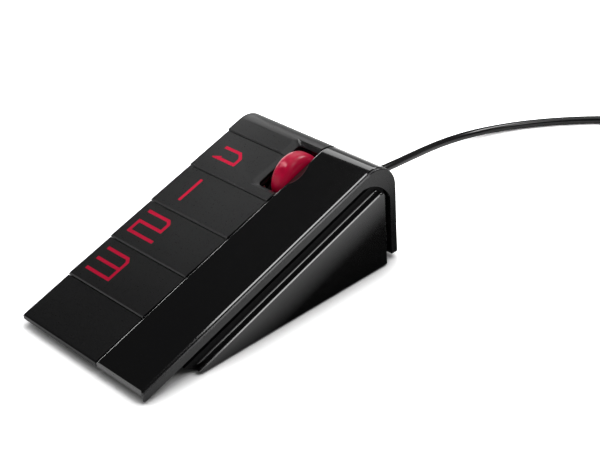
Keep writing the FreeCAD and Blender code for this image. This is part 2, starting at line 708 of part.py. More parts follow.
def legend_outline(name):
    front = key_front(name)
    low = f"({front} + legend_bottom)"
    mid = f"({front} + legend_middle)"
    top = f"({front} + legend_top)"
    left, right, cut = "legend_left", "legend_right", "legend_corner"
    if name == "key_1":
        middle = "switch_place"
        return [
            (f"{middle} - {half}", f"{low} - {half}"),
            (f"{middle} + {half}", f"{low} - {half}"),
            (f"{middle} + {half}", f"{top} + {half}"),
            (f"{middle} - {half}", f"{top} + {half}"),
        ]
    if name == "key_return":
        low = f"({front} + arrow_bottom)"
        top = f"({front} + arrow_top)"
        cut = "arrow_shoulder"
    head = [
        (f"{left} + arrow_tail_inset" if name == "key_return" else left, f"{top} + {half}"),
        (f"{right} - {cut} + {nip}", f"{top} + {half}"),
        (f"{right} + {half}", f"{top} - {cut} + {nip}"),
    ]
    tail = [
        (f"{right} - {half}", f"{top} - {cut} - {nip}"),
        (f"{right} - {cut} - {nip}", f"{top} - {half}"),
        (head[0][0], f"{top} - {half}"),
    ]
    if name == "key_3":
        middle = [
            (f"{right} + {half}", f"{low} - {half}"),
            (left, f"{low} - {half}"),
            (left, f"{low} + {half}"),
            (f"{right} - {half}", f"{low} + {half}"),
            (f"{right} - {half}", f"{mid} - {half}"),
            (left, f"{mid} - {half}"),
            (left, f"{mid} + {half}"),
            (f"{right} - {half}", f"{mid} + {half}"),
        ]
    elif name == "key_2":
        inner = f"{left} + legend_stroke"
        middle = [
            (f"{right} + {half}", f"{mid} - {half}"),
            (inner, f"{mid} - {half}"),
            (inner, f"{low} + {half}"),
            (f"{right} + legend_stroke", f"{low} + {half}"),
            (f"{right} + legend_stroke", f"{low} - {half}"),
            (left, f"{low} - {half}"),
            (left, f"{mid} + {half}"),
            (f"{right} - {half}", f"{mid} + {half}"),
        ]
    else:
        middle = [
            (f"{right} + {half}", f"{low} - {half}"),
            ("arrow_left", f"{low} - {half}"),
            ("arrow_left", f"{low} - {half} + arrow_flat"),
            ("arrow_left + arrow_head", f"{low} + {half} + arrow_barb"),
            ("arrow_left + arrow_head", f"{low} + {half}"),
            (f"{right} - {half}", f"{low} + {half}"),
        ]
    return head + middle + tail


for name in KEYS:
    piece, near, far = key(name)
    recess = legend_outline(name)
    piece.prism("top", recess, "-legend_depth - key_rear_drop", "2", True)
    if name == "key_return":
        cut_pocket(piece)
    inlay = Piece(name.replace("key", "legend"), True)
    inlay.prism("top", recess, "-legend_depth - key_rear_drop", "2")
    above = [(f"{near} + key_bevel", "key_front_rise"), (far, "-key_rear_drop"), (far, "5"), (f"{near} + key_bevel", "5")]
    inlay.prism("side", above, CAP_LEFT, "divider_place", True)

rod = Piece("key_hinge_rod", True)
rod.rod("back", "hinge_place", "pad_run + 1", "-hinge_depth", "hinge_rod_radius", f"{rib_rear} - pad_run - 1.2")

# Main board under the keys, with one tactile switch under each key.
board = Piece("main_board", True)
board.block("-board_width / 2", "board_width / 2", "board_start", "board_end", BOARD_LOW, "-board_depth")
board.block("wheel_place - board_notch_half", "wheel_place + board_notch_half", "board_notch_start", "board_end + 1", f"{BOARD_LOW} - 1", "1 - board_depth", True)
for across, run in BOARD_SPOTS:
    board.rod("up", across, run, f"{BOARD_LOW} - 1", "small_screw_radius + screw_fit", "board_thick + 2", True)
for across, back in HOUSING_SPOTS[:2]:
    board.rod("plumb", across, *on_slope(back, FLOOR_TOP), "boss_radius + 0.6", "14", True)

for name in KEYS:
    label = name.replace("key", "switch")
    middle = f"({key_front(name)} + key_pitch / 2)"
    switch = Piece(label, True)
    switch.block("switch_place - switch_width / 2", "switch_place + switch_width / 2", f"{middle} - switch_width / 2", f"{middle} + switch_width / 2", "-board_depth", "switch_height - board_depth")
    switch.rod("up", "switch_place", middle, "switch_floor - board_depth", "button_radius + button_fit", "switch_height", True)
    button = Piece(name.replace("key", "switch_button"), True)
    button.rod("up", "switch_place", middle, "switch_height - board_depth - button_guide", "button_radius", "button_guide + button_proud")

board_screws = Piece("board_screws", True)
for across, run in BOARD_SPOTS:
    board_screws.rod("up", across, run, f"{BOARD_LOW} - small_head_thick", "small_head_radius", "small_head_thick")
    board_screws.rod("up", across, run, f"{BOARD_LOW} - 0.1", "small_screw_radius", "board_thick + board_depth - slab_depth - 0.3")

chip = Piece("controller_chip", True)
chip.block("chip_place - chip_width / 2", "chip_place + chip_width / 2", "chip_run - chip_width / 2", "chip_run + chip_width / 2", "-board_depth", "chip_thick - board_depth")
crystal = Piece("clock_crystal", True)
crystal_front = "(chip_run + chip_width / 2 + 2)"
crystal.block("chip_place - crystal_length / 2", "chip_place + crystal_length / 2", crystal_front, f"{crystal_front} + crystal_width", "-board_depth", "chip_thick - board_depth")
header = Piece("cable_header", True)
header_box = ("header_place - header_width / 2", "header_place + header_width / 2", "header_run - header_length / 2", "header_run + header_length / 2")
header.block(*header_box, f"{BOARD_LOW} - header_height", BOARD_LOW)
header_plug = Piece("header_plug", True)
header_plug.block(*header_box, f"{BOARD_LOW} - header_height - header_plug_height", f"{BOARD_LOW} - header_height")

# Base: a tub narrower than the slab's overhang, its prow slanting back to the floor.
base = Piece("base_shell")
prow_top = under_top("base_front", "base_drop")
lean = f"((base_front_foot - base_front) / ({prow_top} - floor_gap))"
base_profile = [
    ("base_front", prow_top),
    ("base_rear", under_top("base_rear", "base_drop")),
    ("base_rear", "floor_gap"),
    ("base_front_foot", "floor_gap"),
]
base.prism("side", base_profile, "-base_width / 2", "base_width / 2", False, {1: "base_rear_radius"})
hollow = [
    (f"base_front_foot - base_floor * {lean} + prow_wall", FLOOR_TOP),
    (f"base_front + prow_wall - 2.5 * {lean}", f"{prow_top} + 2.5"),
    (f"base_front + prow_wall - 2.5 * {lean}", "overall_length"),
    ("base_rear - base_wall", "overall_length"),
    ("base_rear - base_wall", FLOOR_TOP),
]
base.prism("side", hollow, "base_wall - base_width / 2", "base_width / 2 - base_wall", True)
for across, back in HOUSING_SPOTS + BRACKET_SPOTS:
    base.rod("up", across, back, "0", "screw_radius + screw_fit", f"{FLOOR_TOP} + 1", True)
    base.rod("up", across, back, "0", "head_radius + 0.1", "floor_gap + head_thick", True)
for across, back in BALLAST_SPOTS:
    base.rod("up", across, back, "floor_gap + 0.4", "screw_radius + screw_fit", "base_floor", True)
base.rod("back", "0", "base_rear - base_wall - 3", "cable_height", "boot_radius + boot_fit", "base_wall + 6", True)

# Gloss side plates, proud of the base.
for label, sign in (("left", "-"), ("right", "")):
    plate = Piece(f"side_plate_{label}")
    tip = under_top("plate_front", "plate_drop")
    plate_profile = [
        ("plate_front", tip),
        ("plate_rear", under_top("plate_rear", "plate_drop")),
        ("plate_rear", "floor_gap"),
        (f"plate_front + ({tip} - floor_gap) * {lean}", "floor_gap"),
    ]
    inner = f"{sign}base_width / 2"
    outer = f"{sign}(base_width / 2 + plate_thick)"
    low_side, high_side = (outer, inner) if sign else (inner, outer)
    plate.prism("side", plate_profile, low_side, high_side, False, {1: "plate_radius"})
    middle = "(plate_front + plate_rear) / 2"
    plate.soften("Chamfer", "plate_chamfer", [(outer, middle, under_top(middle, "plate_drop"))])

for end in ("front", "rear"):
    for label, sign in (("left", "-"), ("right", "")):
        foot = Piece(f"foot_{end}_{label}")
        foot.rod("up", f"{sign}foot_side", f"foot_{end}", "0", "foot_radius", "floor_gap")

ballast = Piece("ballast_plate")
ballast.block("-ballast_width / 2", "ballast_width / 2", "ballast_front", "ballast_rear", FLOOR_TOP, f"{FLOOR_TOP} + ballast_thick")
ballast_screws = Piece("ballast_screws")
for across, back in BALLAST_SPOTS:
    ballast.rod("up", across, back, "0", "screw_radius + screw_fit", "overall_length", True)
    ballast_screws.rod("up", across, back, f"{FLOOR_TOP} + ballast_thick", "head_radius", "head_thick")
    ballast_screws.rod("up", across, back, "floor_gap + 0.5", "screw_radius", "base_floor + ballast_thick")

housing_screws = Piece("housing_screws")
for across, back in HOUSING_SPOTS:
    housing_screws.rod("up", across, back, "floor_gap", "head_radius", "head_thick")
    housing_screws.rod("up", across, back, "floor_gap", "screw_radius", "base_floor + screw_depth")
bracket_screws = Piece("bracket_screws")
for across, back in BRACKET_SPOTS:
    bracket_screws.rod("up", across, back, "floor_gap", "head_radius", "head_thick")
    bracket_screws.rod("up", across, back, "floor_gap", "screw_radius", "base_floor + bracket_floor + 3")

# Bracket that holds the pivot pin and the wheel's own small board.
bracket = Piece("wheel_bracket")
bracket_left = f"(wheel_place - {CHEEK_IN} - cheek_thick)"
bracket_right = f"(wheel_place + {CHEEK_IN} + cheek_thick)"
shelf_front = f"({PIVOT_BACK} + shelf_front)"
bracket.block(bracket_left, bracket_right, CHEEK_FRONT, CHEEK_REAR, FLOOR_TOP, f"{PIVOT_HEIGHT} + cheek_rise")
bracket.block(f"wheel_place - {CHEEK_IN}", f"wheel_place + {CHEEK_IN}", f"{CHEEK_FRONT} - 1", f"{CHEEK_REAR} + 1", f"{FLOOR_TOP} + bracket_floor", "overall_length", True)
bracket.block(f"wheel_place - {CHEEK_IN} - 0.2", f"wheel_place + {CHEEK_IN} + 0.2", shelf_front, CHEEK_REAR, f"{SHELF_TOP} - shelf_thick", SHELF_TOP)
for across, back in BRACKET_SPOTS:
    bracket.rod("up", across, back, f"{FLOOR_TOP} + bracket_floor - 0.2", "head_radius + 0.2", "4")
    bracket.rod("up", across, back, "0", "screw_radius + screw_fit", f"{FLOOR_TOP} + bracket_floor + 3", True)
bracket.rod("right", f"{bracket_left} - 1", PIVOT_BACK, PIVOT_HEIGHT, "axle_radius + axle_fit / 2", f"{bracket_right} - {bracket_left} + 2", True)
pin = Piece("yoke_pin")
pin.rod("right", bracket_left, PIVOT_BACK, PIVOT_HEIGHT, "axle_radius", f"{bracket_right} - {bracket_left}")

wheel_board = Piece("wheel_board")
wheel_board.block(f"wheel_place - {CHEEK_IN} + 0.1", f"wheel_place + {CHEEK_IN} - 0.1", shelf_front, CHEEK_REAR, SHELF_TOP, WHEEL_BOARD_TOP)
wheel_switch = Piece("wheel_switch")
half_switch = "switch_width / 2"
wheel_switch.block(f"wheel_place - {half_switch}", f"wheel_place + {half_switch}", f"{SWITCH_BACK} - {half_switch}", f"{SWITCH_BACK} + {half_switch}", WHEEL_BOARD_TOP, WHEEL_SWITCH_TOP)
wheel_switch.rod("up", "wheel_place", SWITCH_BACK, f"{WHEEL_BOARD_TOP} + switch_floor", "button_radius + button_fit", "wheel_switch_height", True)
wheel_button = Piece("wheel_switch_button")
wheel_button.rod("up", "wheel_place", SWITCH_BACK, f"{WHEEL_SWITCH_TOP} - button_guide", "button_radius", "button_guide + button_proud")

# Yoke that carries the wheel and tilts on the pin.
yoke = Piece("wheel_yoke")
arm = [
    (f"{PIVOT_BACK} - 2", BAR_LOW),
    (f"{AXLE_BACK} + crossbar_rear", BAR_LOW),
    (f"{AXLE_BACK} + crossbar_rear", f"{BAR_TOP} + 1.4"),
    (f"{AXLE_BACK} + 1.9", f"{AXLE_HEIGHT} + 1.5"),
    (f"{AXLE_BACK} - 1.9", f"{AXLE_HEIGHT} + 1.5"),
    (f"{PIVOT_BACK} - 2", f"{PIVOT_HEIGHT} + 1.6"),
]
for sign in ("-", "+"):
    inner = f"wheel_place {sign} ({ARM_OUT} - arm_thick)"
    outer = f"wheel_place {sign} {ARM_OUT}"
    ends = (outer, inner) if sign == "-" else (inner, outer)
    if sign == "-":
        yoke.prism("side", arm, *ends)
        bar = (f"wheel_place - {ARM_OUT} + 0.2", f"wheel_place + {ARM_OUT} - 0.2")
        yoke.block(*bar, f"{AXLE_BACK} - crossbar_rear - 2", f"{AXLE_BACK} + crossbar_rear", BAR_LOW, BAR_TOP)
    else:
        yoke.prism("side", arm, *ends)
yoke.rod("right", f"wheel_place - {ARM_OUT} - 1", PIVOT_BACK, PIVOT_HEIGHT, "axle_radius + axle_fit", f"2 * {ARM_OUT} + 2", True)
yoke.rod("right", f"wheel_place - {ARM_OUT} - 1", AXLE_BACK, AXLE_HEIGHT, "axle_radius + axle_fit / 2", f"2 * {ARM_OUT} + 2", True)
axle = Piece("wheel_axle")
axle.rod("right", f"wheel_place - {ARM_OUT}", AXLE_BACK, AXLE_HEIGHT, "axle_radius", f"2 * {ARM_OUT}")
for label, sign in (("sensor_emitter", "-"), ("sensor_receiver", "+")):
    inner = f"wheel_place {sign} (hub_web / 2 + sensor_gap)"
    outer = f"wheel_place {sign} ({ARM_OUT} - arm_thick)"
    ends = (outer, inner) if sign == "-" else (inner, outer)
    sensor = Piece(label)
    sensor.block(*ends, f"{AXLE_BACK} - sensor_width / 2", f"{AXLE_BACK} + sensor_width / 2", f"{AXLE_HEIGHT} - slot_radius - sensor_width / 2", f"{AXLE_HEIGHT} - slot_radius + sensor_width / 2")

# Wheel: soft tyre with rounded edges on a hub whose thin web is slotted for the light sensor.
tyre = Piece("wheel_tyre")
tyre.rod("right", "wheel_place - wheel_width / 2", AXLE_BACK, AXLE_HEIGHT, "wheel_radius", "wheel_width")
tyre.rod("right", "wheel_place - wheel_width / 2 - 1", AXLE_BACK, AXLE_HEIGHT, "tyre_inner", "wheel_width + 2", True)
tyre_edges = [(f"wheel_place {sign} wheel_width / 2", AXLE_BACK, f"{AXLE_HEIGHT} + wheel_radius") for sign in ("-", "+")]
tyre.soften("Fillet", "wheel_edge", tyre_edges)
hub = Piece("wheel_hub")
hub.rod("right", "wheel_place - hub_web / 2", AXLE_BACK, AXLE_HEIGHT, "tyre_inner", "hub_web")
hub_side = "(wheel_width / 2 - hub_inset)"
hub.rod("right", f"wheel_place - {hub_side}", AXLE_BACK, AXLE_HEIGHT, "hub_boss_radius", f"2 * {hub_side}")
hub.rod("right", f"wheel_place - {hub_side} - 1", AXLE_BACK, AXLE_HEIGHT, "axle_radius + axle_fit", f"2 * {hub_side} + 2", True)
for number in range(int(SIZES["slot_count"])):
    turn = f"({number} * 360 deg / slot_count)"
    slot = hub.add("Box", True)
    bind(slot, "Length", "hub_web + 2")
    bind(slot, "Width", "slot_length")
    bind(slot, "Height", "slot_width")
    slot.Placement = Placement(Vector(0, 0, 0), Rotation(Vector(1, 0, 0), 1.0))
    near = "(slot_radius - slot_length / 2)"
    bind(slot, "Placement.Base.x", "wheel_place - hub_web / 2 - 1")
    bind(slot, "Placement.Base.y", f"{AXLE_BACK} + {near} * cos({turn}) + slot_width / 2 * sin({turn})")
    bind(slot, "Placement.Base.z", f"{AXLE_HEIGHT} + {near} * sin({turn}) - slot_width / 2 * cos({turn})")
    bind(slot, "Placement.Rotation.Angle", turn)


# Leads and cable: round tubes along straight runs joined by arcs.
def tube(label, points, radius):
    """A tube through the points, given from the middle of the floor; prints its smallest bend."""
    spots = [Vector(*point) for point in points]
    edges = []
    radii = []
    here = spots[0]
    for before, corner, after in zip(spots, spots[1:], spots[2:]):
        back = (before - corner).normalize()
        ahead = (after - corner).normalize()
        half_angle = back.getAngle(ahead) / 2
        shorter = min(before.distanceToPoint(corner), after.distanceToPoint(corner))
        bend = 0.45 * shorter * math.tan(half_angle)
        reach = 0.45 * shorter
        centre = corner + (back + ahead).normalize() * (bend / math.sin(half_angle))
        middle = centre + (corner - centre).normalize() * bend
        first = corner + back * reach
        last = corner + ahead * reach
        edges.append(Part.LineSegment(here, first).toShape())
        edges.append(Part.Arc(first, middle, last).toShape())
        radii.append(round(bend, 1))
        here = last
    edges.append(Part.LineSegment(here, spots[-1]).toShape())
    path = Part.Wire(edges)
    ring = Part.Wire([Part.makeCircle(radius, spots[0], spots[1] - spots[0])])
    thing = doc.addObject("Part::Feature", label)
    thing.Shape = path.makePipeShell([ring], True, False)
    ratio = thing.Shape.Volume / (math.pi * radius**2 * path.Length)
    print(f"{label}: bends {radii}, length {path.Length:.1f}, volume ratio {ratio:.4f}")
    PIECES[label] = thing


rear = value("overall_length / 2")
cable_height = value("cable_height")
lead_end = (value("header_place"), value(slope_back("header_run", f"{BOARD_LOW} - header_height - header_plug_height")) - rear, value(slope_height("header_run", f"{BOARD_LOW} - header_height - header_plug_height")))
flange_front = value("base_rear - base_wall - boot_flange_thick") - rear
inner_points = [
    (0.0, flange_front, cable_height),
    (-1.2, flange_front - 3.7, cable_height + 0.1),
    (-7.0, flange_front - 6.8, cable_height + 0.5),
    (lead_end[0] + 1.4, lead_end[1] + 2.7, lead_end[2] - 4.5),
    lead_end,
]
tube("inner_lead", inner_points, value("lead_radius"))

board_face = value(WHEEL_BOARD_TOP) - value("wheel_board_thick") / 2
shelf_edge = value(shelf_front) - rear
main_low = value(slope_height(run_at(f"{shelf_front} - 9.4", BOARD_LOW), BOARD_LOW))
wheel_points = [
    (value("wheel_place"), shelf_edge, board_face),
    (value("wheel_place"), shelf_edge - 4.0, board_face - 0.2),
    (value("wheel_place"), shelf_edge - 8.2, board_face + 1.6),
    (value("wheel_place"), value(f"{shelf_front} - 9.4") - rear, main_low),
]
tube("wheel_lead", wheel_points, value("wheel_lead_radius"))

# Strain relief through both rear walls, then the cable over the floor to its coil.
boot = Piece("cable_boot")
flange = "(base_rear - base_wall - boot_flange_thick)"
boot.rod("back", "0", flange, "cable_height", "boot_flange_radius", "boot_flange_thick")
boot.rod("back", "0", f"{flange} + boot_flange_thick / 2", "cable_height", "boot_radius", f"overall_length - {flange} - boot_flange_thick / 2")
boot.rod("back", "0", "overall_length", "cable_height", "boot_start_radius", "boot_tail", False, "boot_end_radius")

cable_start = value("overall_length / 2 + boot_tail")
cable_points = [
    (0.0, cable_start, cable_height),
    (0.2, 69.5, 11.35),
    (0.0, 80.5, 10.2),
    (-2.0, 93.0, 8.1),
    (-4.2, 107.0, 5.6),
    (-4.9, 119.5, 3.5),
    (-3.3, 131.2, 2.0),
    (2.1, 143.0, 1.5),
    (9.2, 152.8, 1.45),
    (17.2, 161.5, 1.42),
    (25.9, 169.4, 1.42),
    (35.2, 177.0, 1.45),
    (44.6, 183.0, 1.5),
]
tube("cable", cable_points, value("cable_radius"))

coil = Piece("cable_coil")
coil_back = "(coil_y + overall_length / 2)"
coil.rod("up", "coil_x", coil_back, "0", "coil_outer", "coil_height")
coil.rod("up", "coil_x", coil_back, "-1", "coil_inner", "coil_height + 2", True)
tie_out = "(coil_x - coil_outer)"
tie_in = "(coil_x - coil_inner + 0.4)"
tie_front = f"({coil_back} - tie_width / 2)"
tie_rear = f"({coil_back} + tie_width / 2)"
coil.block(f"{tie_out} - 1", f"{tie_in} + 1", tie_front, tie_rear, "-1", "tie_thick", True)
tie = Piece("cable_tie")
tie.block(f"{tie_out} - tie_thick", f"{tie_in} + tie_thick", tie_front, tie_rear, "0", "coil_height + tie_thick")
tie.block(tie_out, tie_in, f"{tie_front} - 1", f"{tie_rear} + 1", "tie_thick", "coil_height", True)

# Plug that lies on the coil.
plug_x = "(coil_x + plug_offset)"
plug_end = f"({coil_back} + plug_rear)"
plug_front = f"({plug_end} - plug_body_length)"
plug_middle = "(coil_height + plug_body_height / 2)"
plug_body = Piece("plug_body")
body_sides = (f"{plug_x} - plug_body_width / 2", f"{plug_x} + plug_body_width / 2")
plug_body.block(*body_sides, plug_front, plug_end, "coil_height", "coil_height + plug_body_height")
plug_shell = Piece("plug_shell")
shell_sides = (f"{plug_x} - plug_shell_width / 2", f"{plug_x} + plug_shell_width / 2")
shell_ends = (f"{plug_middle} - plug_shell_height / 2", f"{plug_middle} + plug_shell_height / 2")
plug_shell.block(*shell_sides, f"{plug_front} - plug_shell_length", plug_front, *shell_ends)

doc.recompute()
for thing in doc.Objects:
    for state in ("Invalid", "Error"):
        if state in thing.State:
            raise RuntimeError(f"{thing.Label} is {state}")
for label, thing in PIECES.items():
    if thing.Shape.isNull() or not thing.Shape.isValid():
        raise RuntimeError(f"{label} has no valid shape")
os.makedirs("parts", exist_ok=True)
for label, thing in PIECES.items():
    thing.Shape.exportStep(f"parts/{label}.step")
print(f"{len(PIECES)} pieces written")
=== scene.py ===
import bmesh
import bpy
import json
import math
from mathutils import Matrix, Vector


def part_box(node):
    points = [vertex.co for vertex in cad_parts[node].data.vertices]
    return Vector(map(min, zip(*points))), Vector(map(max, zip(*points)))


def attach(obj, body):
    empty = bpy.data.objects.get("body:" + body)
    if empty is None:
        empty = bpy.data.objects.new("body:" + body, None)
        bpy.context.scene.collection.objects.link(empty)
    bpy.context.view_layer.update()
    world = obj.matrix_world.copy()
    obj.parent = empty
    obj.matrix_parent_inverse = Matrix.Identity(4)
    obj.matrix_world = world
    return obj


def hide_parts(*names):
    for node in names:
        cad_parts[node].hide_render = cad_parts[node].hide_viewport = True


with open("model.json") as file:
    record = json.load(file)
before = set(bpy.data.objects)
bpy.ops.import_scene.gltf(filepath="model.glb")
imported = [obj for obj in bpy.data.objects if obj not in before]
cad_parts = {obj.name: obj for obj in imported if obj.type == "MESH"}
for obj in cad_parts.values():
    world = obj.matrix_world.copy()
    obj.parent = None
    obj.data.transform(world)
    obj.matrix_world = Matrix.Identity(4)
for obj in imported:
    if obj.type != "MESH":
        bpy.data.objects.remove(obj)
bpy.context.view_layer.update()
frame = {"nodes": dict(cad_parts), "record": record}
nodes = frame["nodes"]
mm = 0.001
slopeAngle = math.radians(18.3)  # tilt of the deck
near = 0.02  # millimetres within which two places count as one
facing = 0.9  # part of a normal along an axis from which a face counts as facing it
squarely = 0.999  # the same for a face that lies exactly across the axis
alongside = 0.5  # the same for a face that lies along the axis: its part is below this
longEdge = 10  # millimetres; an edge that runs the length of a plug's part is longer
merge = {"gap": 0.002, "angle": 0.3}  # millimetres and degrees for cleaning a copied node


# small helpers
def toLinear(hexColour):
    # display colour to linear light, by the standard curve
    channels = [int(hexColour[i:i + 2], 16) / 255 for i in (1, 3, 5)]
    return tuple(c / 12.92 if c <= 0.04045 else ((c + 0.055) / 1.055) ** 2.4 for c in channels) + (1.0,)


def addNode(tree, kind, settings=None, links=None):
    # one node, its settings, then what feeds it
    node = tree.nodes.new(kind)
    for name, value in (settings or {}).items():
        if isinstance(name, str) and hasattr(node, name):
            setattr(node, name, value)
        else:
            node.inputs[name].default_value = value
    for name, source in (links or {}).items():
        tree.links.new(source, node.inputs[name])
    return node


def addNoise(tree, place, size, detail, roughness):
    # noise whose features are about this size in millimetres
    return addNode(tree, "ShaderNodeTexNoise",
                   {"Scale": 1 / (size * mm), "Detail": detail, "Roughness": roughness}, {"Vector": place})


def addRange(tree, source, start, end, low, high):
    # a value between start and end becomes one between low and high
    ends = {"From Min": start, "From Max": end, "To Min": low, "To Max": high}
    return addNode(tree, "ShaderNodeMapRange", ends, {"Value": source})


def addMath(tree, operation, links, values=None):
    return addNode(tree, "ShaderNodeMath", {"operation": operation, **(values or {})}, links)


def newMaterial(name):
    material = bpy.data.materials.new(name)
    material.use_nodes = True
    material.node_tree.nodes.clear()
    return material, material.node_tree


def wear(piece, material):
    piece.data.materials.clear()
    piece.data.materials.append(material)


def bodyOf(nodeName):
    bodies = frame["record"]["behaviour"]["bodies"]
    return [body for body, members in bodies.items() if nodeName in members][0]


def pick(*pieces):
    # only these are selected, the last is active
    bpy.ops.object.select_all(action="DESELECT")
    for piece in pieces:
        piece.select_set(True)
        bpy.context.view_layer.objects.active = piece


def applyPlace(piece):
    pick(piece)
    bpy.ops.object.transform_apply(location=True, rotation=True, scale=True)


def openEdit(piece, kind="FACE"):
    pick(piece)
    bpy.ops.object.mode_set(mode="EDIT")
    bpy.ops.mesh.select_mode(type=kind)
    bpy.ops.mesh.select_all(action="DESELECT")


def closeEdit():
    bpy.ops.mesh.select_all(action="DESELECT")
    bpy.ops.object.mode_set(mode="OBJECT")


def chooseFaces(piece, test):
    # in edit mode: faces whose centre (millimetres) and normal pass the test
    bpy.ops.mesh.select_mode(type="FACE")
    bpy.ops.mesh.select_all(action="DESELECT")
    mesh = bmesh.from_edit_mesh(piece.data)
    for face in mesh.faces:
        face.select = bool(test(face.calc_center_median() / mm, face.normal))
    bmesh.update_edit_mesh(piece.data)


def chooseEdges(piece, test):
    # in edit mode: edges whose two ends (millimetres) pass the test
    bpy.ops.mesh.select_mode(type="EDGE")
    bpy.ops.mesh.select_all(action="DESELECT")
    mesh = bmesh.from_edit_mesh(piece.data)
    for edge in mesh.edges:
        edge.select = bool(test(edge.verts[0].co / mm, edge.verts[1].co / mm))
    bmesh.update_edit_mesh(piece.data)


def cutAcross(axis, places):
    # in edit mode: an edge loop all round the piece at each place (millimetres) along an axis
    normal = Vector((0.0, 0.0, 0.0))
    normal[axis] = 1.0
    for place in places:
        bpy.ops.mesh.select_all(action="SELECT")
        bpy.ops.mesh.bisect(plane_co=normal * (place * mm), plane_no=normal)


def extrudeBy(x, y, z):
    # in edit mode: the chosen faces or edges are drawn out by millimetres
    bpy.ops.mesh.extrude_region_move(TRANSFORM_OT_translate={"value": (x * mm, y * mm, z * mm)})


def applyModifier(piece, kind, settings):
    pick(piece)
    modifier = piece.modifiers.new(kind.lower(), kind)
    for name, value in settings.items():
        setattr(modifier, name, value)
    bpy.ops.object.modifier_apply(modifier=modifier.name)


def smoothAll(piece, angle=40.0):
    # flat faces keep their own normals, the rounds between them shade smoothly
    pick(piece)
    bpy.ops.object.shade_smooth_by_angle(angle=math.radians(angle))
    applyModifier(piece, "WEIGHTED_NORMAL", {"mode": "FACE_AREA", "weight": 80, "keep_sharp": True})


def addBox(name, low, high):
    middle = [(a + b) / 2 * mm for a, b in zip(low, high)]
    size = [(b - a) * mm for a, b in zip(low, high)]
    bpy.ops.mesh.primitive_cube_add(size=1.0, location=middle, scale=size)
    piece = bpy.context.object
    piece.name = name
    applyPlace(piece)
    return piece


def addRound(name, start, end, radius, endRadius, height, vertices=48):
    # a round or tapering piece along the cable's exit
    middle = (0, (start + end) / 2 * mm, height * mm)
    bpy.ops.mesh.primitive_cone_add(vertices=vertices, radius1=radius * mm, radius2=endRadius * mm,
                                    depth=(end - start) * mm, location=middle,
                                    rotation=(math.radians(-90), 0, 0))
    piece = bpy.context.object
    piece.name = name
    applyPlace(piece)
    return piece


def copyTo(piece, shift):
    # a moved copy with its own mesh
    twin = piece.copy()
    twin.data = piece.data.copy()
    bpy.context.scene.collection.objects.link(twin)
    twin.location = Vector(shift) * mm
    applyPlace(twin)
    return twin


def join(pieces):
    # the last piece takes in the others
    pick(*pieces)
    bpy.ops.object.join()
    return bpy.context.object


def standFor(piece, nodeName):
    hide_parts(nodeName)
    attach(piece, bodyOf(nodeName))


def copyNode(nodeName, pieceName):
    # a merged copy of a CAD node, ready to be shaped
    piece = nodes[nodeName].copy()
    piece.data = nodes[nodeName].data.copy()
    piece.name = pieceName
    bpy.context.scene.collection.objects.link(piece)
    openEdit(piece)
    bpy.ops.mesh.select_all(action="SELECT")
    bpy.ops.mesh.remove_doubles(threshold=merge["gap"] * mm)
    bpy.ops.mesh.dissolve_limited(angle_limit=math.radians(merge["angle"]))
    closeEdit()
    standFor(piece, nodeName)
    return piece


def breakEdges(piece, width, steps=2, sharp=28.0, keep=None):
    # small round on the sharp edges, apart from those that keep() holds back
    openEdit(piece, "EDGE")
    bpy.ops.mesh.edges_select_sharp(sharpness=math.radians(sharp))
    if keep:
        mesh = bmesh.from_edit_mesh(piece.data)
        for edge in mesh.edges:
            if edge.select and keep((edge.verts[0].co + edge.verts[1].co) / 2):
                edge.select = False
        mesh.select_flush(False)
        bmesh.update_edit_mesh(piece.data)
    bpy.ops.mesh.bevel(offset=width * mm, segments=steps, profile=0.5, clamp_overlap=True)
    closeEdit()


# camera
camera = {"place": (0.29904, -0.22818, 0.24513), "turn": (58.634, 3.470, 46.341), "lens": 85.76}
bpy.ops.object.camera_add(location=camera["place"], rotation=[math.radians(a) for a in camera["turn"]])
cameraObject = bpy.context.object
cameraObject.data.lens = camera["lens"]
cameraObject.data.sensor_width = 36.0
cameraObject.data.clip_start = 0.01
bpy.context.scene.camera = cameraObject
print("camera set")

# cable: free stretch, coil and the end that goes to the plug
cable = {
    "radius": 1.4,
    "route": [
        (0.0, 59.74, 11.7), (0.2, 69.5, 11.35), (0.0, 80.5, 10.2), (-2.0, 93.0, 8.1), (-4.2, 107.0, 5.6),
        (-4.9, 119.5, 3.5), (-3.3, 131.2, 2.0), (2.1, 143.0, 1.5), (9.2, 152.8, 1.45), (17.2, 161.5, 1.42),
        (25.9, 169.4, 1.42), (35.2, 177.0, 1.45), (44.6, 183.0, 1.5),
    ],
    "coilMiddle": (55.2, 166.2),
    "columns": [19.8, 17.0, 14.2, 11.4, 14.2, 17.0, 19.8, 17.0, 14.2],  # radius of each turn
    "layerHeight": 2.8,
    "climbs": (3, 6),  # turns that climb to the next layer
    "startAngle": 118.0,
    "turnPoints": 18,
    "endShort": 0.16,  # part of the last turn that is left out
    "shiftFrom": 0.72,  # part of a turn after which it moves to the next column
    "climbFrom": 0.25,
    "climbPart": 0.3,
    "tailRadius": 11.4,  # column to which the last turn moves for the tail
    "tail": [
        (44.2, 169.6, 7.0), (45.6, 173.9, 7.7), (49.4, 177.2, 8.9), (54.0, 178.9, 10.1),
        (59.6, 180.6, 11.2),
        (64.6, 179.4, 11.9), (67.1, 175.4, 12.1), (67.2, 171.6, 12.1), (67.2, 166.4, 12.1),
    ],
}


def smoothStep(x):
    x = min(max(x, 0.0), 1.0)
    return x * x * (3 - 2 * x)


